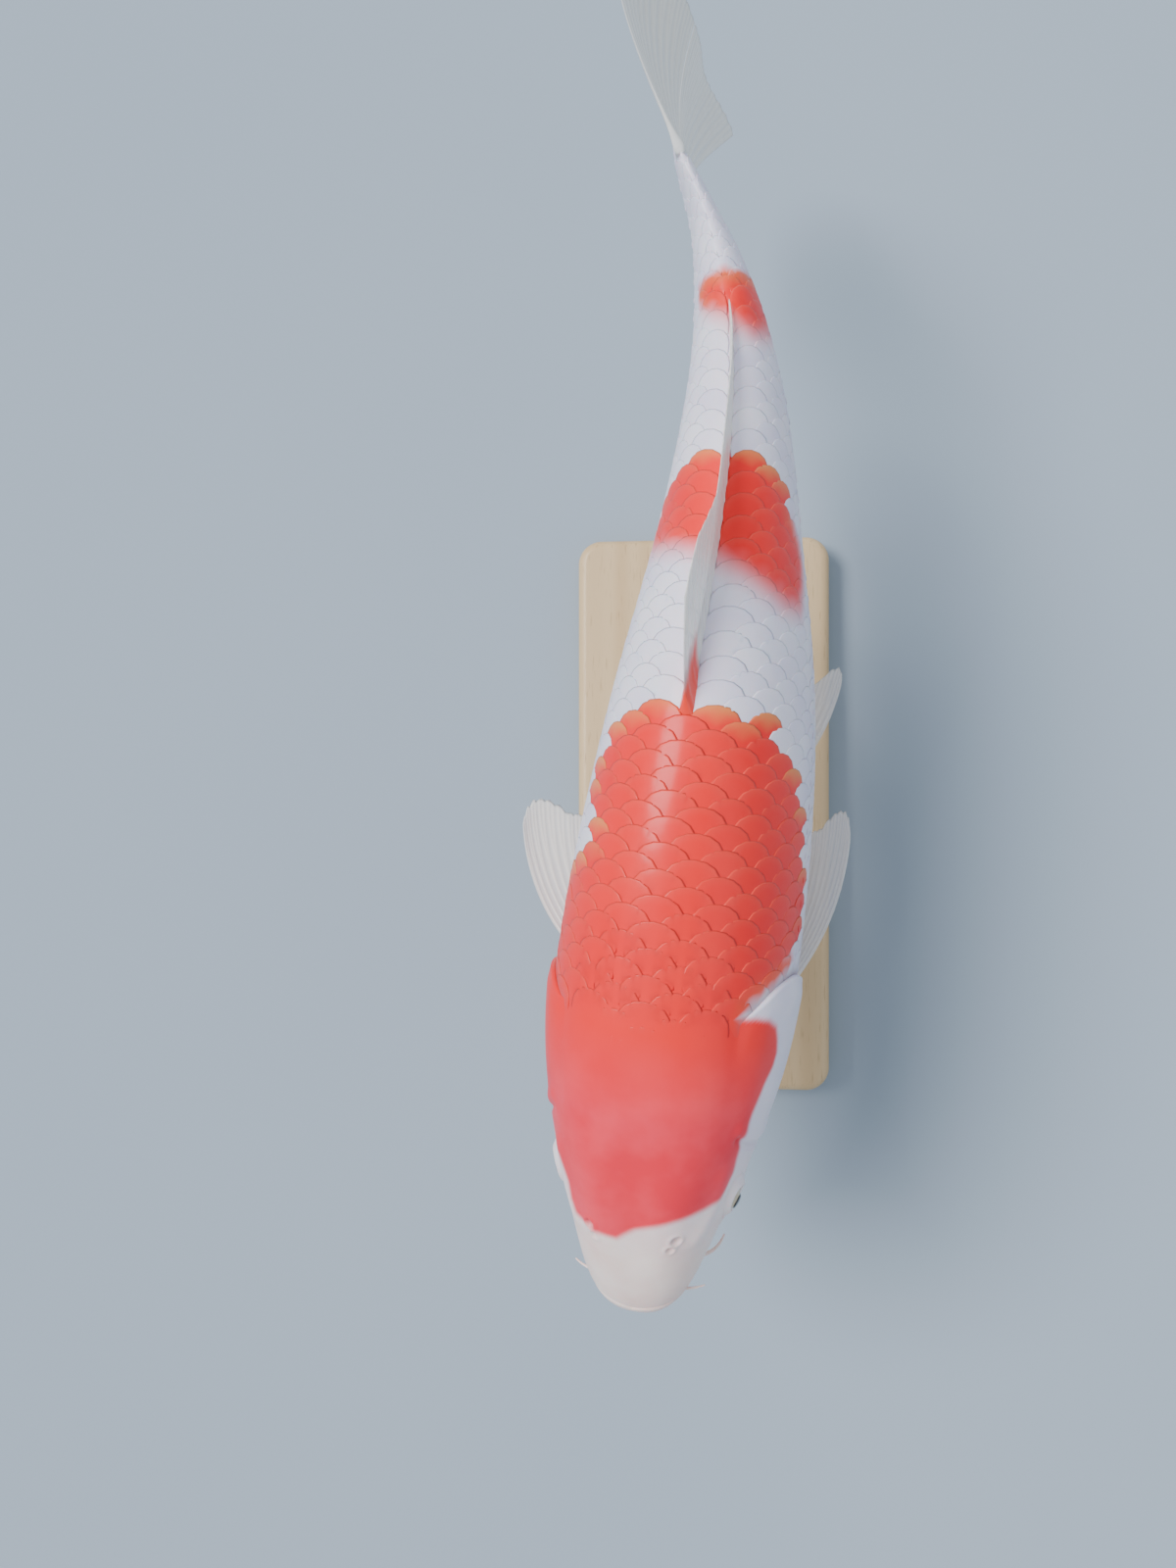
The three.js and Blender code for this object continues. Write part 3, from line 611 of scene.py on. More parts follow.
# Ring by ring of a scale: share of its outline, of the bevel, of the pale rim and of the thickness
SCALE_RINGS = [(0, 0.62, 0.92, 1.0, 0), (0, 0, 0.2, 1, 0), (0, 0, 0.35, 1, 0), (0, 0, 0, 0, 1)]
# Range of each scale's own size, skew and lift, all as shares, and of its tone
SCALE_ODDS = [(-0.03, 0.03), (-0.03, 0.03), (-0.12, 0.12), (0, 1)]
UNWRAP_REACH = 210.0  # the widest half girth with room to spare
UNWRAP_PATCH = 0.0015  # half the width of a scale's patch on the unwrap
FIRST_SCALE = 0.238
LAST_SCALE = 0.984
UNDER_EDGE = 0.003  # share of the length that the first scales lie under the head's edge
BELLY_SPACE = 0.62  # the rows keep this share of their pitch clear of the belly line
FIN_FOOT = (0.5, 0.845)  # no scales on the back ridge between these shares, under the dorsal fin
SLIT_SHADE = 0.9  # painted shade darkens the scales beside the gill slit, and they lose it over these distances from it in mm
SLIT_REACH = (0.5, 6.5)
PORE_LENGTH = 1.6
PORE_RADIUS = 0.42
PORE_AT = 0.4  # its place behind the middle of its scale, over the scale pitch
PORE_SUNK = 0.12
PORE_FLAT = 0.6
# share of painted shade on the side line's pores
PORE_SHADE = 0.35
PORES_FROM = 0.3
LINE_LEVEL = (12, 2)  # angle of the side line, which falls from the first to the second over these shares
LINE_FALL = (0.3, 0.6)


def scale_pitch(s):
    """Distance between the scales of a row."""
    return lerp(*SCALE_PITCH, (s - FIRST_SCALE) / PITCH_RUN)


def row_pitch(s):
    """Distance between rows: it follows the girth to the power 0.8 from the tail to the deepest part."""
    low, high = ROW_GIRTH
    return lerp(*ROW_PITCH, np.clip((half_girth(s) - low) / (high - low), 0, 1) ** 0.8)


def scale_places():
    """Share, distance round the body and row number of every scale, each row half a scale off the next."""
    places = []
    at = FIRST_SCALE
    column = 0
    while at < LAST_SCALE:
        gap = float(row_pitch(at))
        reach = float(half_girth(at))
        count = int(reach / gap) + 2
        rows = [row for row in range(-count, count + 1)
                if (row + column) % 2 == 0 and abs(row * gap) <= reach - BELLY_SPACE * gap]
        under_fin = FIN_FOOT[0] < at < FIN_FOOT[1]
        places += [(at, row * gap, row) for row in rows if row or not under_fin]
        if column % 2:
            places.append((at, reach, BELLY_ROW))
        at += scale_pitch(at) / 2 / BODY_LENGTH
        column += 1
    places = np.array(places)
    return places[places[:, 0] > head_edge(angle_at(places[:, 0], places[:, 1])) - UNDER_EDGE]


def scale_outline(turn):
    """Radius of a scale by direction: |cos / long| and |sin / wide| to a power add up to 1; tailward that is
    nearly half an ellipse, headward a longer and squarer lobe."""
    c, d = np.cos(turn), np.sin(turn)
    power = np.where(c >= 0, *SCALE_POWERS)
    long = np.where(c >= 0, SCALE_REAR, SCALE_FRONT)
    return (np.abs(c / long) ** power + np.abs(d / SCALE_WIDE) ** power) ** (-1 / power)


def make_scales(places, name):
    """Scales as closed shells: rings from the middle of the top to a thin rim, then back to the middle
    below. The height over the body grows evenly tailward, so each scale lies over those behind it, and has
    a dome of 1 minus the square of the ring's share."""
    share, bevel, edge, below = np.array(SCALE_RINGS)[..., None]
    turn = np.radians([0, 24, 47, 69, 92, 122, 155, 205, 238, 268, 291, 313, 336])[None]
    radius = scale_outline(turn) * share
    size, skew, lift, tone = (rng.uniform(low, high, (len(places), 1, 1)) for low, high in SCALE_ODDS)
    at, arc, row = places.T[:, :, None, None]
    length = scale_pitch(at)
    gap = row_pitch(at)
    across = radius * np.sin(turn) * gap * (1 + size)
    along = radius * np.cos(turn) * length * (1 + size) + skew * across
    crown = step(20, 66, fold_angle(angle_at(at, arc)))
    rise = lerp(FLANK_RISE, lerp(NAPE_RISE, BACK_RISE, step(0.26, 0.45, at)), crown)
    sunk = SCALE_SUNK + NAPE_SUNK * crown * (1 - step(0.26, 0.36, at))
    high = rise * (lift + along / length - SCALE_REAR + SCALE_DOME * (1 - share ** 2)
                   - SCALE_BEVEL * bevel + BELLY_LIFT * (row == BELLY_ROW)) - sunk - SCALE_THICK * below
    s = np.clip(at + along / BODY_LENGTH, 0, 1.0)
    reach = half_girth(s)
    ridge = across + np.where(row == BELLY_ROW, arc * reach / half_girth(at), arc * row_pitch(s) / gap)
    ridge = np.where(np.abs(ridge) > reach, ridge - 2 * reach * np.sign(ridge), ridge)
    degrees = angle_at(s, ridge)
    # painted shade of the crease behind the gill cover's free edge, darkest at the edge
    shade = SLIT_SHADE * fold_share(degrees) * (1 - step(*SLIT_REACH, (s - head_edge(degrees)) * BODY_LENGTH))
    # a scale is red or white as a whole, but reads the marking point by point where the colour fades
    whole, fringe, _ = markings(at + 0.25 * length / BODY_LENGTH, arc)
    near, near_fringe, near_soft = markings(s, ridge)
    blend = np.maximum(step(1.5, 4, near_soft), 1 - step(0.332, 0.345, s) + step(0.8, 0.82, s))
    fringe = lerp(fringe * step(0.2, 0.9, share * np.cos(turn)), 0.5 * near_fringe, blend)
    # paler rims: partly the scales' own thinner colour, partly painted light that lifts the shade of the
    # creases, less where the scales rise little
    rim = edge * step(-0.2, 0.5, np.cos(turn)) * np.minimum(1, rise * 4)
    # one small patch of the unwrap for each scale, at its root
    patch = np.stack([0.02 + 0.96 * at + UNWRAP_PATCH * share * np.cos(turn),
                      0.5 + 0.47 * arc / UNWRAP_REACH + UNWRAP_PATCH * share * np.sin(turn)], -1)
    red = lerp(whole > 0.5, near, blend)
    values = hide_values(s, red=red, fringe=fringe, rim=rim, tone=tone, lining=shade)
    underside = np.tile(np.repeat(np.arange(len(share) - 1) == len(share) - 2, turn.size), len(places))
    return lay_rings(name, body_point(s, degrees, high), values, patch, underside)


def make_side_line(name, side, places):
    """Pores of the side line: a short tube on the bare middle of each scale of one row on the flank, its
    radius by the root of 1 minus the square of the place along it."""
    at, row_arc, _ = places[places[:, 2] != BELLY_ROW].T[:, :, None, None]
    level = lerp(*LINE_LEVEL, step(*LINE_FALL, at))
    chosen = (np.abs(side * row_arc - arc_at(at, level)) < 0.5 * row_pitch(at)) & (at > PORES_FROM)
    at, row_arc = (held[chosen][:, None, None] for held in (at, row_arc))
    share = np.array([-1, -0.7, 0, 0.7, 1])[:, None]
    turn = np.radians(np.arange(0, 360, 60))[None]
    radius = PORE_RADIUS * np.sqrt(1 - share ** 2)
    s = at + (PORE_AT * scale_pitch(at) + PORE_LENGTH * share + 0 * turn) / BODY_LENGTH
    arc = row_arc * row_pitch(s) / row_pitch(at) + radius * np.cos(turn)
    points = body_point(s, angle_at(s, arc), -PORE_SUNK + PORE_FLAT * radius * np.sin(turn))
    # the pores carry painted shade
    return lay_rings(name, points, hide_values(s, red=markings(s, arc)[0], lining=PORE_SHADE))


# ---- fins

FIN_INSET = 0.008  # the margin of a sheet lies this share of its length inside the solid fin
FIN_SEAT = 4  # the rays start this far inside the body
FIN_EDGE = 0.8  # thickness of a ray at the margin
RAY_COLUMNS = 9
RAY_WIDE = 0.17  # width of a ray, and how far its halves part, as shares of the space from ray to ray
RAY_SPLIT = 0.24
SHEATH_REACH = 9  # the flesh at the root runs out over this distance
WEB_THIN = 0.42  # thickness of the web as a share of the ray's
WEB_CUT = 0.012  # depth of the nicks in the margin between rays, as a share of the fin's length


def fin_sheet(name, point, rays, root, rows, fork=0.4, sheath=3.0, red=None, swell=0.0):
    """Closed sheet through point(c, v), c across the rays and v from root to margin. Its thickness is a
    thin web plus a bell-shaped ridge on each ray, and a sheath at the root; past the fork every ray is two,
    and the margin is cut in between rays."""
    across = rays * RAY_COLUMNS
    v = np.linspace(0, 1, rows + 1)[:, None] ** 1.05
    c, v = np.broadcast_arrays(np.linspace(0, 1, across + 1), v)
    phase = (c * rays) % 1.0 - 0.5
    split = RAY_SPLIT * step(fork, 1.0, v)
    ridge = np.maximum(bell(phase - split, RAY_WIDE), bell(phase + split, RAY_WIDE))
    web = WEB_CUT * (1 - bell(phase, 0.3) + 0.4 * np.sin(c * 37) ** 2)
    shape = point(c, v * (1 - (FIN_INSET + web) * v ** 2))
    length = np.linalg.norm(shape[-1] - shape[0], axis=-1)[None]
    thick = lerp(root, FIN_EDGE, v ** 0.8) * lerp(1, lerp(WEB_THIN, 1, ridge), step(0, 0.25, v))
    thick += (sheath + swell * (1 - step(0.05, 0.17, c))) * bell(v * length, SHEATH_REACH)
    thick *= 1 - 0.55 * step(0.94, 1, v)
    reach = normals(shape) * (thick / 2)[..., None]
    reach[0] = reach[-1] = reach[:, 0] = reach[:, -1] = 0
    mirror = np.concatenate([np.arange(across + 1), np.arange(across - 1, 0, -1)])
    face = np.repeat([1, -1], [across + 1, across - 1])[:, None]
    index = np.arange((rows + 1) * len(mirror)).reshape(rows + 1, -1)
    same = index.copy()
    same[0] = index[0, mirror]
    same[-1] = index[-1, mirror]
    tint = np.zeros(c.shape) if red is None else red(c, v)
    values = dict(ray=ridge[:, mirror], span=v[:, mirror], red=tint[:, mirror])
    points = shape[:, mirror] + face * reach[:, mirror]
    return make_mesh(name, points.reshape(-1, 3), *grid_quads(rows + 1, len(mirror)), values, same.ravel())


DORSAL = Kit(start=0.505, end=0.795, length=38, crest=34, lead=18, lead_share=0.1, lean_front=54,
             lean_rear=82, curl=9, droop=4.2, droop_share=0.26, ripple=0.6, trail=5)
ANAL = Kit(start=0.765, end=0.842, length=30, crest=34, lean_front=38, lean_rear=62, curl=14, bend=3)
CAUDAL = Kit(start=0.985, seat=8, inner_level=0.3, length=76, crest=54, droop=7, ripple=1.6)
CAUDAL_LOBES = {
    "upper": Kit(lobe=1, level=32, inner=-7, spread=35, curl=5, sweep=0),
    "lower": Kit(lobe=-1, level=30, inner=7, spread=38, curl=0, sweep=-24),
}


def dorsal_ray(c, v):
    """Rays leave the back ridge leaning tailward, more towards the rear. Their length falls with 1 - c to the
    power 2.4, less for the short leading ones, and they sway to the side by a sine."""
    kit = DORSAL
    at = lerp(kit.start, kit.end, c)
    lead = kit.lead * np.maximum(0, 1 - c / kit.lead_share) ** 2
    length = kit.length + kit.crest * (1 - c) ** 2.4 - lead - kit.trail * step(0.8, 1, c)
    tilt = np.radians(lerp(kit.lean_front, kit.lean_rear, c ** 0.8) + kit.curl * v)
    s = at + length * v * np.sin(tilt) / BODY_LENGTH
    rise = back_height(at) - FIN_SEAT + (length + FIN_SEAT) * v * np.cos(tilt)
    droop = kit.droop * np.maximum(0, 1 - c / kit.droop_share)
    return place(s, v * (kit.ripple * np.sin(9 * c) - droop), rise)


def dorsal_red(c, v):
    """The fleshy foot of the first dorsal rays is red."""
    return (1 - step(0.1, 0.15, c)) * (1 - step(0.24, 0.4, v))


def anal_ray(c, v):
    """Rays leave the belly line leaning tailward; their length falls with 1 - c to the power 1.3."""
    kit = ANAL
    at = lerp(kit.start, kit.end, c)
    length = kit.length + kit.crest * (1 - c) ** 1.3
    tilt = np.radians(lerp(kit.lean_front, kit.lean_rear, c) + kit.curl * v)
    s = at + length * v * np.sin(tilt) / BODY_LENGTH
    return place(s, kit.bend * v * v, FIN_SEAT - belly_depth(at) - (length + FIN_SEAT) * v * np.cos(tilt))


def caudal_ray(kit):
    """Rays of one lobe fan out evenly from inside the tail root; their length grows with c to the power 1.7,
    so the outer ones are the longest."""
    def ray(c, v):
        length = CAUDAL.length + CAUDAL.crest * c ** 1.7
        spread = np.radians(kit.inner + kit.spread * c - kit.curl * v * c)
        s = CAUDAL.start + (length + CAUDAL.seat) * v * np.cos(spread) / BODY_LENGTH
        side = v * (kit.sweep * c + CAUDAL.droop * (1 - c) + CAUDAL.ripple * np.sin(8 * c))
        level = lerp(CAUDAL.inner_level, kit.level, c) + length * v * np.sin(spread)
        return place(s, side, kit.lobe * level)
    return ray


PECTORAL = dict(at=0.274, angle=-32, root_turn=20, root_run=0.03, taper=0.34, cup=2)
PECTORALS = {
    "left": Kit(length=102, out_front=37, out_rear=4, out_end=-6, down_front=12, down_rear=26, **PECTORAL),
    "right": Kit(length=97, out_front=66, out_rear=16, out_end=8, down_front=5, down_rear=18, **PECTORAL),
}
PELVIC = Kit(at=0.462, angle=-56, root_turn=14, root_run=0.024, length=74, taper=0.45, out_front=40,
             out_rear=12, out_end=4, down_front=14, down_rear=30, cup=6)


def paired_ray(side, kit):
    """Rays fan out evenly from a short root on the flank and turn back by v times an angle; their length
    falls with c to the power 1.6."""
    _, back, left, up = spine(kit.at)

    def ray(c, v):
        degrees = side_angle(side, lerp(kit.angle, kit.angle - kit.root_turn, c))
        root = body_point(kit.at + kit.root_run * c, degrees, -FIN_SEAT)
        full = 0.9 + 0.1 * np.sin(np.pi * np.minimum(1, c * 2.5))
        reach = kit.length * (1 - kit.taper * c ** 1.6) * full * v
        out = lerp(kit.out_front, kit.out_rear, c)
        middle = np.radians(out - 0.5 * (out - kit.out_end) * v)
        down = np.radians(lerp(kit.down_front, kit.down_rear, c) - kit.cup * v)
        tail = (reach * np.cos(middle) * np.cos(down))[..., None] * back
        wide = (side * reach * np.sin(middle) * np.cos(down))[..., None] * left
        high = (-reach * np.sin(down) + 1.2 * v * np.sin(8 * c))[..., None] * up
        return root + tail + wide + high
    return ray


# ---- mouth, feelers and eyes

MOUTH_CORNER = 0.046
MOUTH_DEPTH = 4
MOUTH_FALL = 0.2
LIP_RADIUS = 2.8
LIP_FULL = 0.83  # the lip's roundness as a share of that radius
LIP_FLAT = 0.86
LIP_GAP = 0.15
FEELER_SEAT = 2  # starts this far inside the lip
FEELER_TAPER = 0.42  # thickness at the tip over that at the root
FEELERS = {  # share, angle, length, thickness at the root and how far it curls
    "corner": (MOUTH_CORNER + 0.004, -22, 20, 2.2, 1),
    "front": (0.03, 8, 12, 1.6, 0.45),
}


def mouth_point(t, lift):
    """Mouth line from the right corner, t = -1, round the snout to the left one: the share grows with t
    squared, and the side is where the section has that height."""
    s = lerp(0.0035, MOUTH_CORNER, t * t)
    height = lift - MOUTH_DEPTH - s * BODY_LENGTH * MOUTH_FALL
    power = np.where(height > 0, smooth(BACK_POWERS, 1, s), BELLY_POWER)
    share = np.minimum(1, np.abs(height) / np.where(height > 0, back_height(s), belly_depth(s)))
    side = half_width(s) * (1 - share ** power) ** (1 / power)
    return place(s, np.sign(t) * side, height)


def make_lip(name, lift):
    """Tube along the mouth line that thins by t squared towards the corners and is rounded there."""
    t = np.linspace(-1, 1, 90)
    radius = LIP_RADIUS * LIP_FULL * (1 - 0.45 * t * t) * np.sqrt(np.clip(1 - np.abs(t) ** 12, 0, 1))
    path = mouth_point(t, lift)
    path[1:-1] = (path[:-2] + 2 * path[1:-1] + path[2:]) / 4
    return lay_tube(name, path, radius, 30, LIP_FLAT, spine(0.02)[3], 0.01)


def make_feeler(name, side, at, angle, length, thick, curl):
    """Feeler: an evenly tapered tube on a quadratic curve from start to end, drawn towards bend; it leaves
    the lip sideways, and curl turns it back and down."""
    _, back, left, up = spine(at)
    start = body_point(at, side_angle(side, angle), -FEELER_SEAT)
    bend = start + left * side * length * 0.5 - up * length * 0.22 * curl
    end = start + left * side * length * (1.1 - 0.48 * curl) + (back * 0.42 - up * 0.62) * length * curl
    t = np.linspace(0, 1, 40)[:, None]
    path = (1 - t) ** 2 * start + 2 * t * (1 - t) * bend + t * t * end
    tip = np.sqrt(np.clip(1 - np.clip((t[:, 0] - 0.96) / 0.04, 0, 1) ** 2, 0, 1))
    tip[0] = 0
    return lay_tube(name, path, lerp(thick, thick * FEELER_TAPER, t[:, 0]) / 2 * tip, 20, 1.0, back, 0.03)


def make_eye(name):
    """Eyeball: a ball turned round its outward axis, its radius by the angle from that axis: more over the
    lens, and less by a bell in the hollow ring of the iris."""
    centre, out, forward, up = EYES[name]
    wide = np.concatenate([np.linspace(0, 60, 44), np.linspace(64, 180, 16)])[:, None]
    polar = np.radians(wide)
    turn = circle(64)
    radius = EYE_RADIUS - EYE_INSET + LENS_PROUD * (1 - step(17, 24, wide)) - IRIS_HOLLOW * bell(wide - 26, 5)
    flat = forward * np.cos(turn)[..., None] + up * np.sin(turn)[..., None]
    points = centre + (radius * np.cos(polar))[..., None] * out + (radius * np.sin(polar))[..., None] * flat
    return lay_rings(f"eyeball_{name}", points, dict(ring=np.broadcast_to(wide, points.shape[:2])))


# Profile of the flesh round the eye: distance from the eye's middle, and height over the body
ORBIT = [(6.2, -1.2), (6.9, 1.0), (7.4, 2.2), (8.3, 2.6), (9.4, 2.2), (10.8, 1.3), (12.2, 0.4), (13.5, -0.9)]
ORBIT_THICK = 1.25


def make_orbit(name, side):
    """Fleshy ring round the eye: a cubic through its profile, turned round the eye along the body, that rises
    from against the ball and runs out under the skin."""
    rows, around = 26, 80
    distance = np.linspace(ORBIT[0][0], ORBIT[-1][0], rows)[:, None]
    turn = circle(around)[None]
    s = EYE_AT + distance * np.cos(turn) / BODY_LENGTH / 1.03
    arc = arc_at(EYE_AT, side_angle(side, EYE_ANGLE)) + distance * np.sin(turn)
    degrees = angle_at(s, arc)
    out = body_normals(s, degrees)
    top = body_point(s, degrees) + out * smooth(ORBIT, 1, distance)[..., None]
    there_and_back = np.r_[0:rows, rows - 1:-1:-1, 0]
    depth = np.repeat([0, ORBIT_THICK, 0], [rows, rows, 1])[:, None, None]
    points = top[there_and_back] - out[there_and_back] * depth
    index = np.arange(len(points) * around).reshape(-1, around)
    index[-1] = index[0]
    s, arc = s[there_and_back], arc[there_and_back]
    return make_mesh(name, points.reshape(-1, 3), *grid_quads(len(points), around),
                     hide_values(s, red=markings(s, arc)[0]), index.ravel())


# ---- stand

BASE_WIDTH = 150.0
BASE_LENGTH = 330.0
BASE_HEIGHT = 18.0
BASE_CORNER = 14.0
BASE_ROUND = 5.5  # radius of the top edge
ROD_PLACES = {"front": 0.32, "rear": 0.63}
ROD_SHIFT = 0.1  # towards the fish's right, as a share of the belly's depth
ROD_SEAT = 6
# Radius and height of the foot collar, which stands 0.02 mm clear of the plinth, and of the rod in it
ROD_FOOT = [(0, 18.02), (11.4, 18.02), (12, 18.6), (12, 20.6), (11.2, 21.5), (9, 21.95), (6, 22), (4.8, 22.6),
            (4.2, 23.6), (4, 25.5), (4, 60)]


def make_base():
    """Plinth: a rectangle with quarter circles at its corners, carried up a profile that draws it in, with a
    small round below and a wide one above."""
    arc = np.radians(np.linspace(0, 90, 14))[1:]
    rounding = np.stack([BASE_ROUND * (np.cos(arc) - 1), BASE_HEIGHT + BASE_ROUND * (np.sin(arc) - 1)], -1)
    profile = np.concatenate([
        [(-60, 0), (-2, 0), (-0.5, 0.6), (0, 2), (0, BASE_HEIGHT - BASE_ROUND)],
        rounding, [(-20, BASE_HEIGHT), (-60, BASE_HEIGHT)]])
    inset, height = -profile[:, :1], profile[:, 1:]
    turn = circle(160)
    quarter = (turn // (np.pi / 2)).astype(int)
    shrink = np.clip(inset, 0, BASE_CORNER)
    side = np.array([BASE_WIDTH, BASE_LENGTH])[:, None, None] / 2 - BASE_CORNER - (inset - shrink)
    sign = np.array([[1, -1, -1, 1], [1, 1, -1, -1]])[:, quarter][:, None]
    x, y = sign * side + (BASE_CORNER - shrink) * np.stack([np.cos(turn), np.sin(turn)])[:, None]
    points = np.stack([x, y, height + 0 * x], -1)
    ends = np.zeros((2, 1, len(turn), 3))
    ends[1, ..., 2] = BASE_HEIGHT
    return lay_rings("stand_plinth", np.concatenate([ends[0], points, ends[1]]))


def make_rod(name, at):
    """Rod with its foot collar: one profile turned round an upright axis."""
    point, _, left, _ = spine(at)
    foot = point - left * ROD_SHIFT * belly_depth(at)
    top = point[2] - float(belly_depth(at)) + ROD_SEAT
    profile = np.array(ROD_FOOT + [(4, top - 1), (3.6, top), (0, top)])
    turn = circle(64)
    x = foot[0] + profile[:, :1] * np.cos(turn)
    y = foot[1] + profile[:, :1] * np.sin(turn)
    return lay_rings(name, np.stack([x, y, profile[:, 1:] + 0 * x], -1))


# ---- materials

def colour(code):
    """Linear colour from an sRGB hex code: the standard curve, with its straight foot."""
    parts = [int(code[k:k + 2], 16) / 255 for k in (1, 3, 5)]
    return tuple(p / 12.92 if p <= 0.04045 else ((p + 0.055) / 1.055) ** 2.4 for p in parts) + (1.0,)


def feed(tree, node, inputs):
    """Links or sets a node's inputs by name or number; a hex code is a colour."""
    for key, value in inputs.items():
        if isinstance(value, bpy.types.NodeSocket):
            tree.links.new(value, node.inputs[key])
        else:
            node.inputs[key].default_value = colour(value) if isinstance(value, str) else value


def add_node(tree, kind, inputs, out=None, **settings):
    """Adds a shader node with its settings, feeds it, and returns the named output or else the first one."""
    made = tree.nodes.new("ShaderNode" + kind)
    for key, value in settings.items():
        setattr(made, key, value)
    feed(tree, made, inputs)
    return made.outputs[out] if out else next(socket for socket in made.outputs if socket.enabled)


def make_material(name, look, *attributes):
    """Material named for what it is; look(add, place on the object, the mesh's own values) adds the nodes
    and gives what feeds its shader."""
    made = bpy.data.materials.new(name)
    made.use_nodes = True
    tree = made.node_tree
    add = partial(add_node, tree)
    spot = add("TexCoord", {}, "Object")
    held = [add("Attribute", {}, "Fac", attribute_name=key) for key in attributes]
    feed(tree, tree.nodes["Principled BSDF"], look(add, spot, *held))
    return made


def koi_hide(add, spot, red, fringe, rim, tone, along, lining):
    """Wet koi skin and scales: pearly white with coral red, an orange edge and a clear slime coat.
    The patches come from the mesh's own values, so skin and scales carry the same markings."""
    # cloudy tone 25 mm across, as the pigment lies unevenly
    cloud = add("TexNoise", {"Vector": spot, "Scale": 40.0, "Detail": 3.0})
    cloud = add("MapRange", {"Value": cloud, "From Min": 0.35, "From Max": 0.65})
    patchy = add("Mix", {"Factor": 0.5, "A": cloud, "B": tone}, data_type="FLOAT")
    trunk, nape = (add("MapRange", {"Value": along, "From Min": low, "From Max": high})
                   for low, high in ((0.2, 0.27), (0.07, 0.2)))
    # two tones each: pearly white trunk tinted lilac by painted sky reflection, creamy snout, head red made
    # pinker and darker by painted reflection and shade, and coral trunk
    white, cream, reflected_rose, coral = (
        add("Mix", {"Factor": by, "A": light, "B": dark}, data_type="RGBA")
        for by, light, dark in ((patchy, "#f6eff8", "#e2daee"), (cloud, "#ffe7de", "#f8d6cc"),
                                (patchy, "#ff4a5c", "#e81430"), (patchy, "#ff2c28", "#fb1c1e")))
    # paler colour on the rims of the scales, partly thinner pigment and partly painted light; painted shade
    # in a dull grey pink in the nostrils, the pores, under the gill cover and beside the gill slit
    thin, hollow = (add("Math", {0: value, 1: share}, operation="MULTIPLY")
                    for value, share in ((rim, 0.25), (lining, 0.8)))
    deep = reflected_rose
    for share, over in ((trunk, coral), (thin, "#f4866c"), (fringe, "#f08a4e")):
        deep = add("Mix", {"Factor": share, "A": deep, "B": over}, data_type="RGBA")
    paint = cream
    for share, over in ((nape, white), (red, deep), (hollow, "#94747c")):
        paint = add("Mix", {"Factor": share, "A": paint, "B": over}, data_type="RGBA")
    # slime wrinkles about 1.5 mm apart, drawn coarser than life so that they show
    fine = add("TexNoise", {"Vector": spot, "Scale": 650.0, "Detail": 2.0})
    return {
        "Base Color": paint, "Specular IOR Level": 0.2, "Coat Weight": 0.25, "Coat Roughness": 0.2,
        "Subsurface Weight": 0.25, "Subsurface Radius": (0.004, 0.0015, 0.001),
        "Normal": add("Bump", {"Height": fine, "Strength": 0.12, "Distance": 0.0004}),
        "Roughness": add("MapRange", {"Value": fine, "To Min": 0.42, "To Max": 0.58})}


def fin_web(add, spot, ray, span, red):
    """Fin: milky horn-like rays with a thin see-through web between, jointed about every 4 mm."""
    cloud = add("TexNoise", {"Vector": spot, "Scale": 60.0, "Detail": 3.0})
    paint = "#eceef0"
    for share, over in ((cloud, "#f7f1e6"), (ray, "#fffaf0"), (red, "#ff3c24")):
        paint = add("Mix", {"Factor": share, "A": paint, "B": over}, data_type="RGBA")
    # solid at the root, on the rays and where it is red, and thinner in between
    fleshy = add("MapRange", {"Value": span, "From Min": 0.0, "From Max": 0.35, "To Min": 1.0, "To Max": 0.0})
    solid = add("Math", {0: ray, 1: 0.35}, operation="MULTIPLY")
    for other in (fleshy, red):
        solid = add("Math", {0: solid, 1: other}, operation="MAXIMUM")
    joints = add("TexWave", {"Vector": spot, "Scale": 80.0, "Distortion": 2.0}, "Fac", bands_direction="Y")
    return {
        "Base Color": paint, "Roughness": 0.32, "Coat Weight": 0.4, "Coat Roughness": 0.15,
        "Alpha": add("MapRange", {"Value": solid, "To Min": 0.6, "To Max": 1.0}),
        "Normal": add("Bump", {"Height": joints, "Strength": 0.15, "Distance": 0.0003})}


def eye_gloss(add, spot, ring):
    """Eye: black lens, silvery gold iris with a fine grain and a dark rim, all under a wet gloss."""
    grain = add("TexNoise", {"Vector": spot, "Scale": 900.0, "Detail": 3.0})
    iris = add("Mix", {"Factor": grain, "A": "#b99a62", "B": "#e6ddc8"}, data_type="RGBA")
    # the lens ends and the rim starts at these angles from the eye's axis
    inner, outer = (add("MapRange", {"Value": ring, "From Min": low, "From Max": high})
                    for low, high in ((21.0, 23.5), (36.0, 46.0)))
    ball = add("Mix", {"Factor": outer, "A": iris, "B": "#4b4547"}, data_type="RGBA")
    paint = add("Mix", {"Factor": inner, "A": "#0b0a0c", "B": ball}, data_type="RGBA")
    return {"Base Color": paint, "Roughness": 0.22, "Coat Weight": 1.0, "Coat Roughness": 0.03}


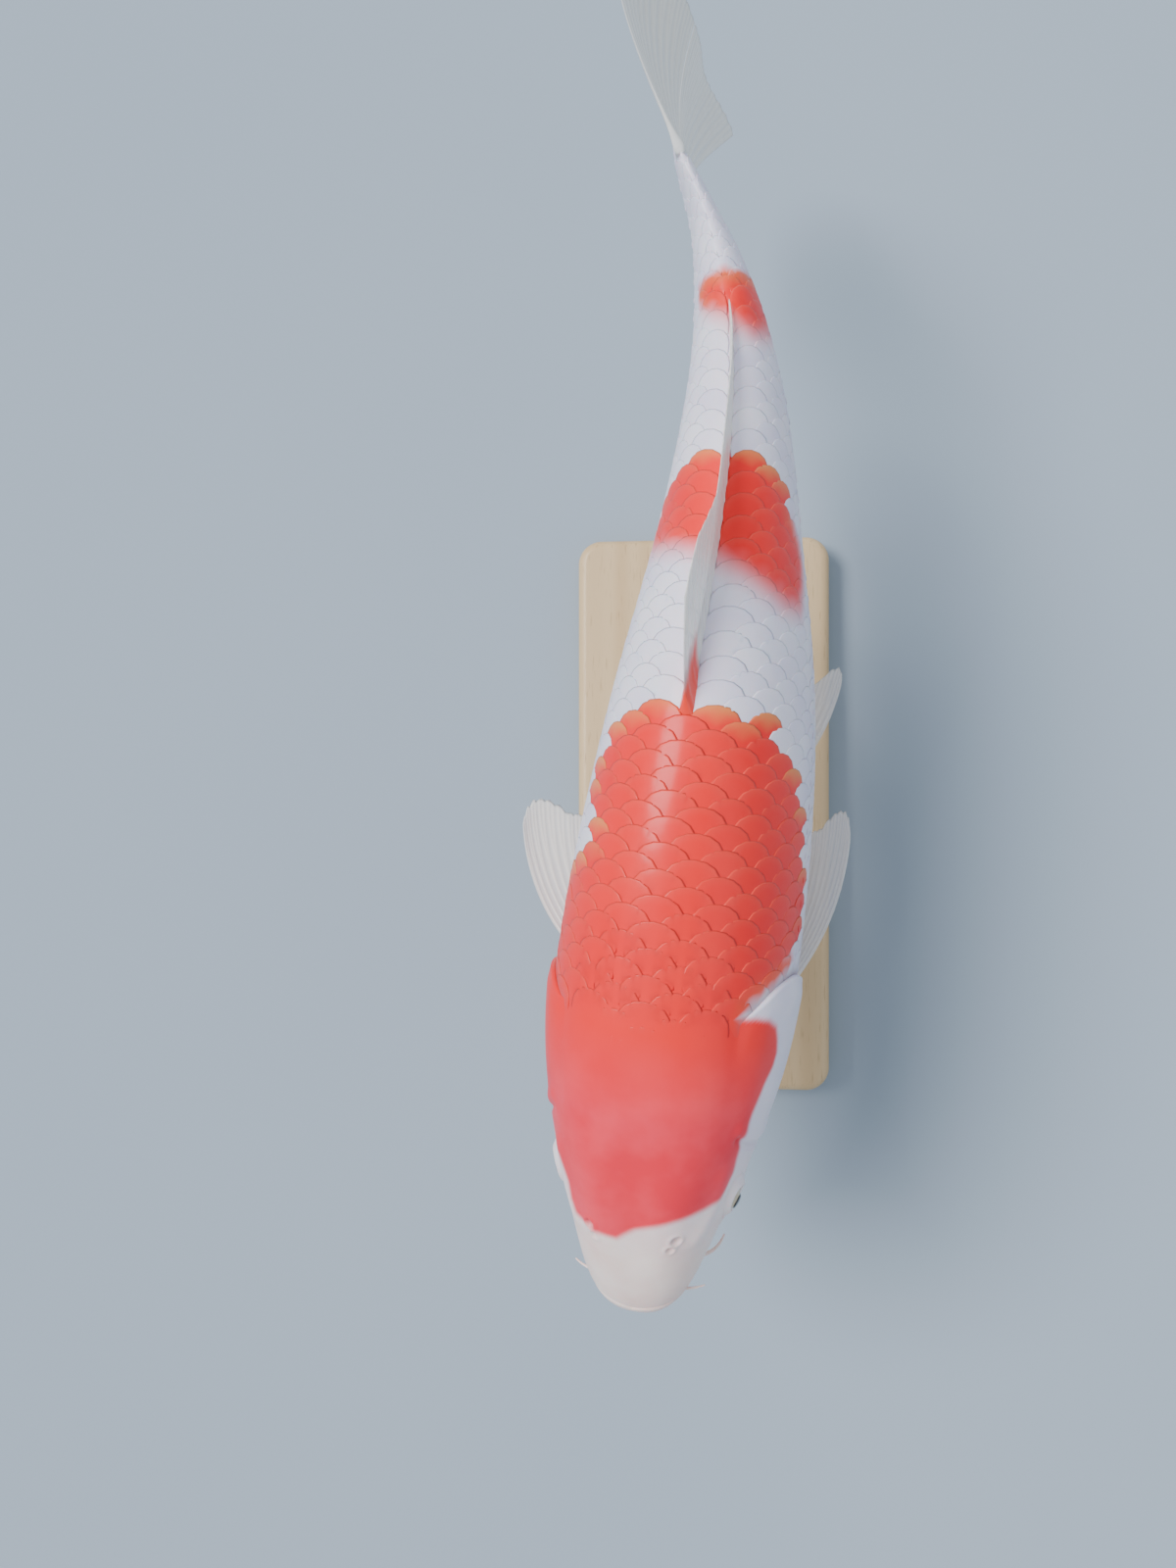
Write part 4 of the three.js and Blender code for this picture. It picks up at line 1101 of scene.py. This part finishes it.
def maple(add, spot):
    """Oiled maple: pale wood with growth bands 14 mm apart along the plinth and short darker flecks."""
    long = add("Mapping", {"Vector": spot, "Scale": (1.0, 0.08, 1.0)})
    wander = add("TexNoise", {"Vector": long, "Scale": 30.0, "Detail": 3.0})
    bands = add("TexWave", {"Vector": long, "Scale": 22.0, "Distortion": 5.0, "Detail": 2.0,
                            "Detail Scale": 1.2}, "Fac", bands_direction="X")
    fleck = add("TexNoise", {"Vector": long, "Scale": 900.0, "Detail": 2.0})
    dark = add("MapRange", {"Value": fleck, "From Min": 0.6, "From Max": 0.75, "To Max": 0.5})
    wood = "#cfae80"
    for share, over in ((bands, "#c19c6c"), (wander, "#d8bb90"), (dark, "#9a7448")):
        wood = add("Mix", {"Factor": share, "A": wood, "B": over}, data_type="RGBA")
    grain = add("Bump", {"Height": fleck, "Strength": 0.1, "Distance": 0.0003})
    return {"Base Color": wood, "Normal": grain, "Roughness": 0.48, "Coat Weight": 0.1}


def brushed_steel(add, spot):
    """Brushed stainless steel: brush lines run round the turned rods, half a millimetre apart."""
    rings = add("Mapping", {"Vector": spot, "Scale": (0.05, 0.05, 1.0)})
    lines = add("TexNoise", {"Vector": rings, "Scale": 2000.0, "Detail": 2.0})
    steel = add("Mix", {"Factor": lines, "A": "#a9adb2", "B": "#c3c6ca"}, data_type="RGBA")
    rough = add("MapRange", {"Value": lines, "To Min": 0.22, "To Max": 0.4})
    return {"Base Color": steel, "Metallic": 1.0, "Roughness": rough}


def studio_paper(add, spot):
    """Matt pale paper sweep with a faint mottle."""
    mottle = add("TexNoise", {"Vector": spot, "Scale": 3.0, "Detail": 2.0})
    paper = add("Mix", {"Factor": mottle, "A": "#9aa7b4", "B": "#9fabb7"}, data_type="RGBA")
    return {"Base Color": paper, "Roughness": 0.95, "Specular IOR Level": 0.1}


# ---- assembly

def finish(piece, material, slot, *nodes):
    """Gives a piece its material, hides the solids it stands for, and lets it ride on the body; slot is not
    used.
    """
    piece.data.materials.append(material)
    if nodes:
        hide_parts(*nodes)
    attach(piece, "root")


hide = make_material("wet koi hide", koi_hide, "red", "fringe", "rim", "tone", "along", "lining")
web = make_material("translucent fin web", fin_web, "ray", "span", "red")
wet = make_material("wet eye", eye_gloss, "ring")
wood = make_material("oiled maple", maple)
steel = make_material("brushed stainless steel", brushed_steel)
finish(make_skin(), hide, "skin_white", "head", "lower_jaw", "gill_cover_left", "gill_cover_right",
       "trunk_front", "trunk_middle", "trunk_rear", "tail_stalk")
places = scale_places()
for name, chosen in (("scales_front", places[:, 0] < 0.5), ("scales_rear", places[:, 0] >= 0.5)):
    finish(make_scales(places[chosen], name), hide, "skin_white")
for name, side in SIDES.items():
    finish(make_side_line(f"side_line_{name}", side, places), hide, "skin_white")
lip_lift = LIP_RADIUS * LIP_FLAT + LIP_GAP
finish(make_lip("lip_top", lip_lift), hide, "skin_white", "lip_upper")
finish(make_lip("lip_bottom", -lip_lift), hide, "skin_white", "lip_lower")
finish(fin_sheet("dorsal_web", dorsal_ray, 20, 1.8, 44, sheath=2.2, red=dorsal_red, swell=3.4), web, "fin",
       "dorsal_fin")
finish(fin_sheet("anal_web", anal_ray, 8, 1.6, 44), web, "fin", "anal_fin")
for name, kit in CAUDAL_LOBES.items():
    finish(fin_sheet(f"caudal_web_{name}", caudal_ray(kit), 12, 2, 70, 0.3), web, "fin", f"caudal_fin_{name}")
for name, side in SIDES.items():
    finish(fin_sheet(f"pectoral_web_{name}", paired_ray(side, PECTORALS[name]), 16, 2, 56, sheath=5.0), web,
           "fin", f"pectoral_fin_{name}")
    finish(fin_sheet(f"pelvic_web_{name}", paired_ray(side, PELVIC), 9, 1.8, 46, sheath=4.0), web, "fin",
           f"pelvic_fin_{name}")
    for row, kit in FEELERS.items():
        finish(make_feeler(f"feeler_{row}_{name}", side, *kit), hide, "skin_white", f"barbel_{row}_{name}")
    finish(make_orbit(f"orbit_{name}", side), hide, "skin_white")
    finish(make_eye(name), wet, "eye", f"eye_{name}")
finish(make_base(), wood, "base_wood", "stand_base")
for name, at in ROD_PLACES.items():
    finish(make_rod(f"stand_post_{name}", at), steel, "rod_steel", f"stand_rod_{name}",
           f"stand_collar_{name}")


# ---- floor, light and camera

FLOOR_REACH = 60000.0
FLOOR_LEVEL = -0.5
AIM = (0, 0, 0.18)
LAMPS = {  # place and width in metres, power in watts
    "fill": ((1.3, -0.6, 1.3), 1.4, 5),
    "rim": ((0.2, 1.9, 0.9), 1.2, 6),
}
SUN_STRENGTH = 4.0
SUN_WIDTH = math.radians(30)
SUN_TURN = (math.radians(-14), math.radians(-33), 0)
SKY_COLOUR = "#d0dfee"
SKY_STRENGTH = 0.7
CAMERA_TILT = math.radians(6)
CAMERA_LENS = 27.04
CAMERA_DISTANCE = 0.544
CAMERA_MIDDLE = (-0.0513, 0.0177, AXIS_HEIGHT * MM)  # the place that fills the middle of the picture

corners = np.array([[-1, -1, 0], [1, -1, 0], [1, 1, 0], [-1, 1, 0]]) * FLOOR_REACH + [0, 0, FLOOR_LEVEL]
floor = make_mesh("floor", corners, np.array([[0, 1, 2, 3]]))
floor.data.materials.append(make_material("matt studio paper", studio_paper))


def hang(name, data, place_m, turn):
    """Puts a light or the camera into the scene at a place in metres, turned by angles in radians."""
    made = bpy.data.objects.new(name, data)
    bpy.context.scene.collection.objects.link(made)
    made.location = place_m
    made.rotation_euler = turn
    return made


for name, (place_m, width, power) in LAMPS.items():
    lamp = bpy.data.lights.new(name, "AREA")
    lamp.size = width
    lamp.energy = power
    away = np.array(place_m) - AIM
    down = math.atan2(math.hypot(away[0], away[1]), away[2])
    hang(name, lamp, place_m, (down, 0, math.atan2(away[0], -away[1])))
sun = bpy.data.lights.new("key", "SUN")
sun.energy = SUN_STRENGTH
sun.angle = SUN_WIDTH
hang("key", sun, (0, 0, 0), SUN_TURN)

world = bpy.data.worlds.new("soft studio")
world.use_nodes = True
feed(world.node_tree, world.node_tree.nodes["Background"], {"Color": SKY_COLOUR, "Strength": SKY_STRENGTH})
bpy.context.scene.world = world

view = bpy.data.cameras.new("camera")
view.lens = CAMERA_LENS
reach = np.array([math.sin(CAMERA_TILT), 0, math.cos(CAMERA_TILT)]) * CAMERA_DISTANCE
bpy.context.scene.camera = hang("camera", view, CAMERA_MIDDLE + reach, (0, CAMERA_TILT, 0))

bpy.context.view_layer.update()
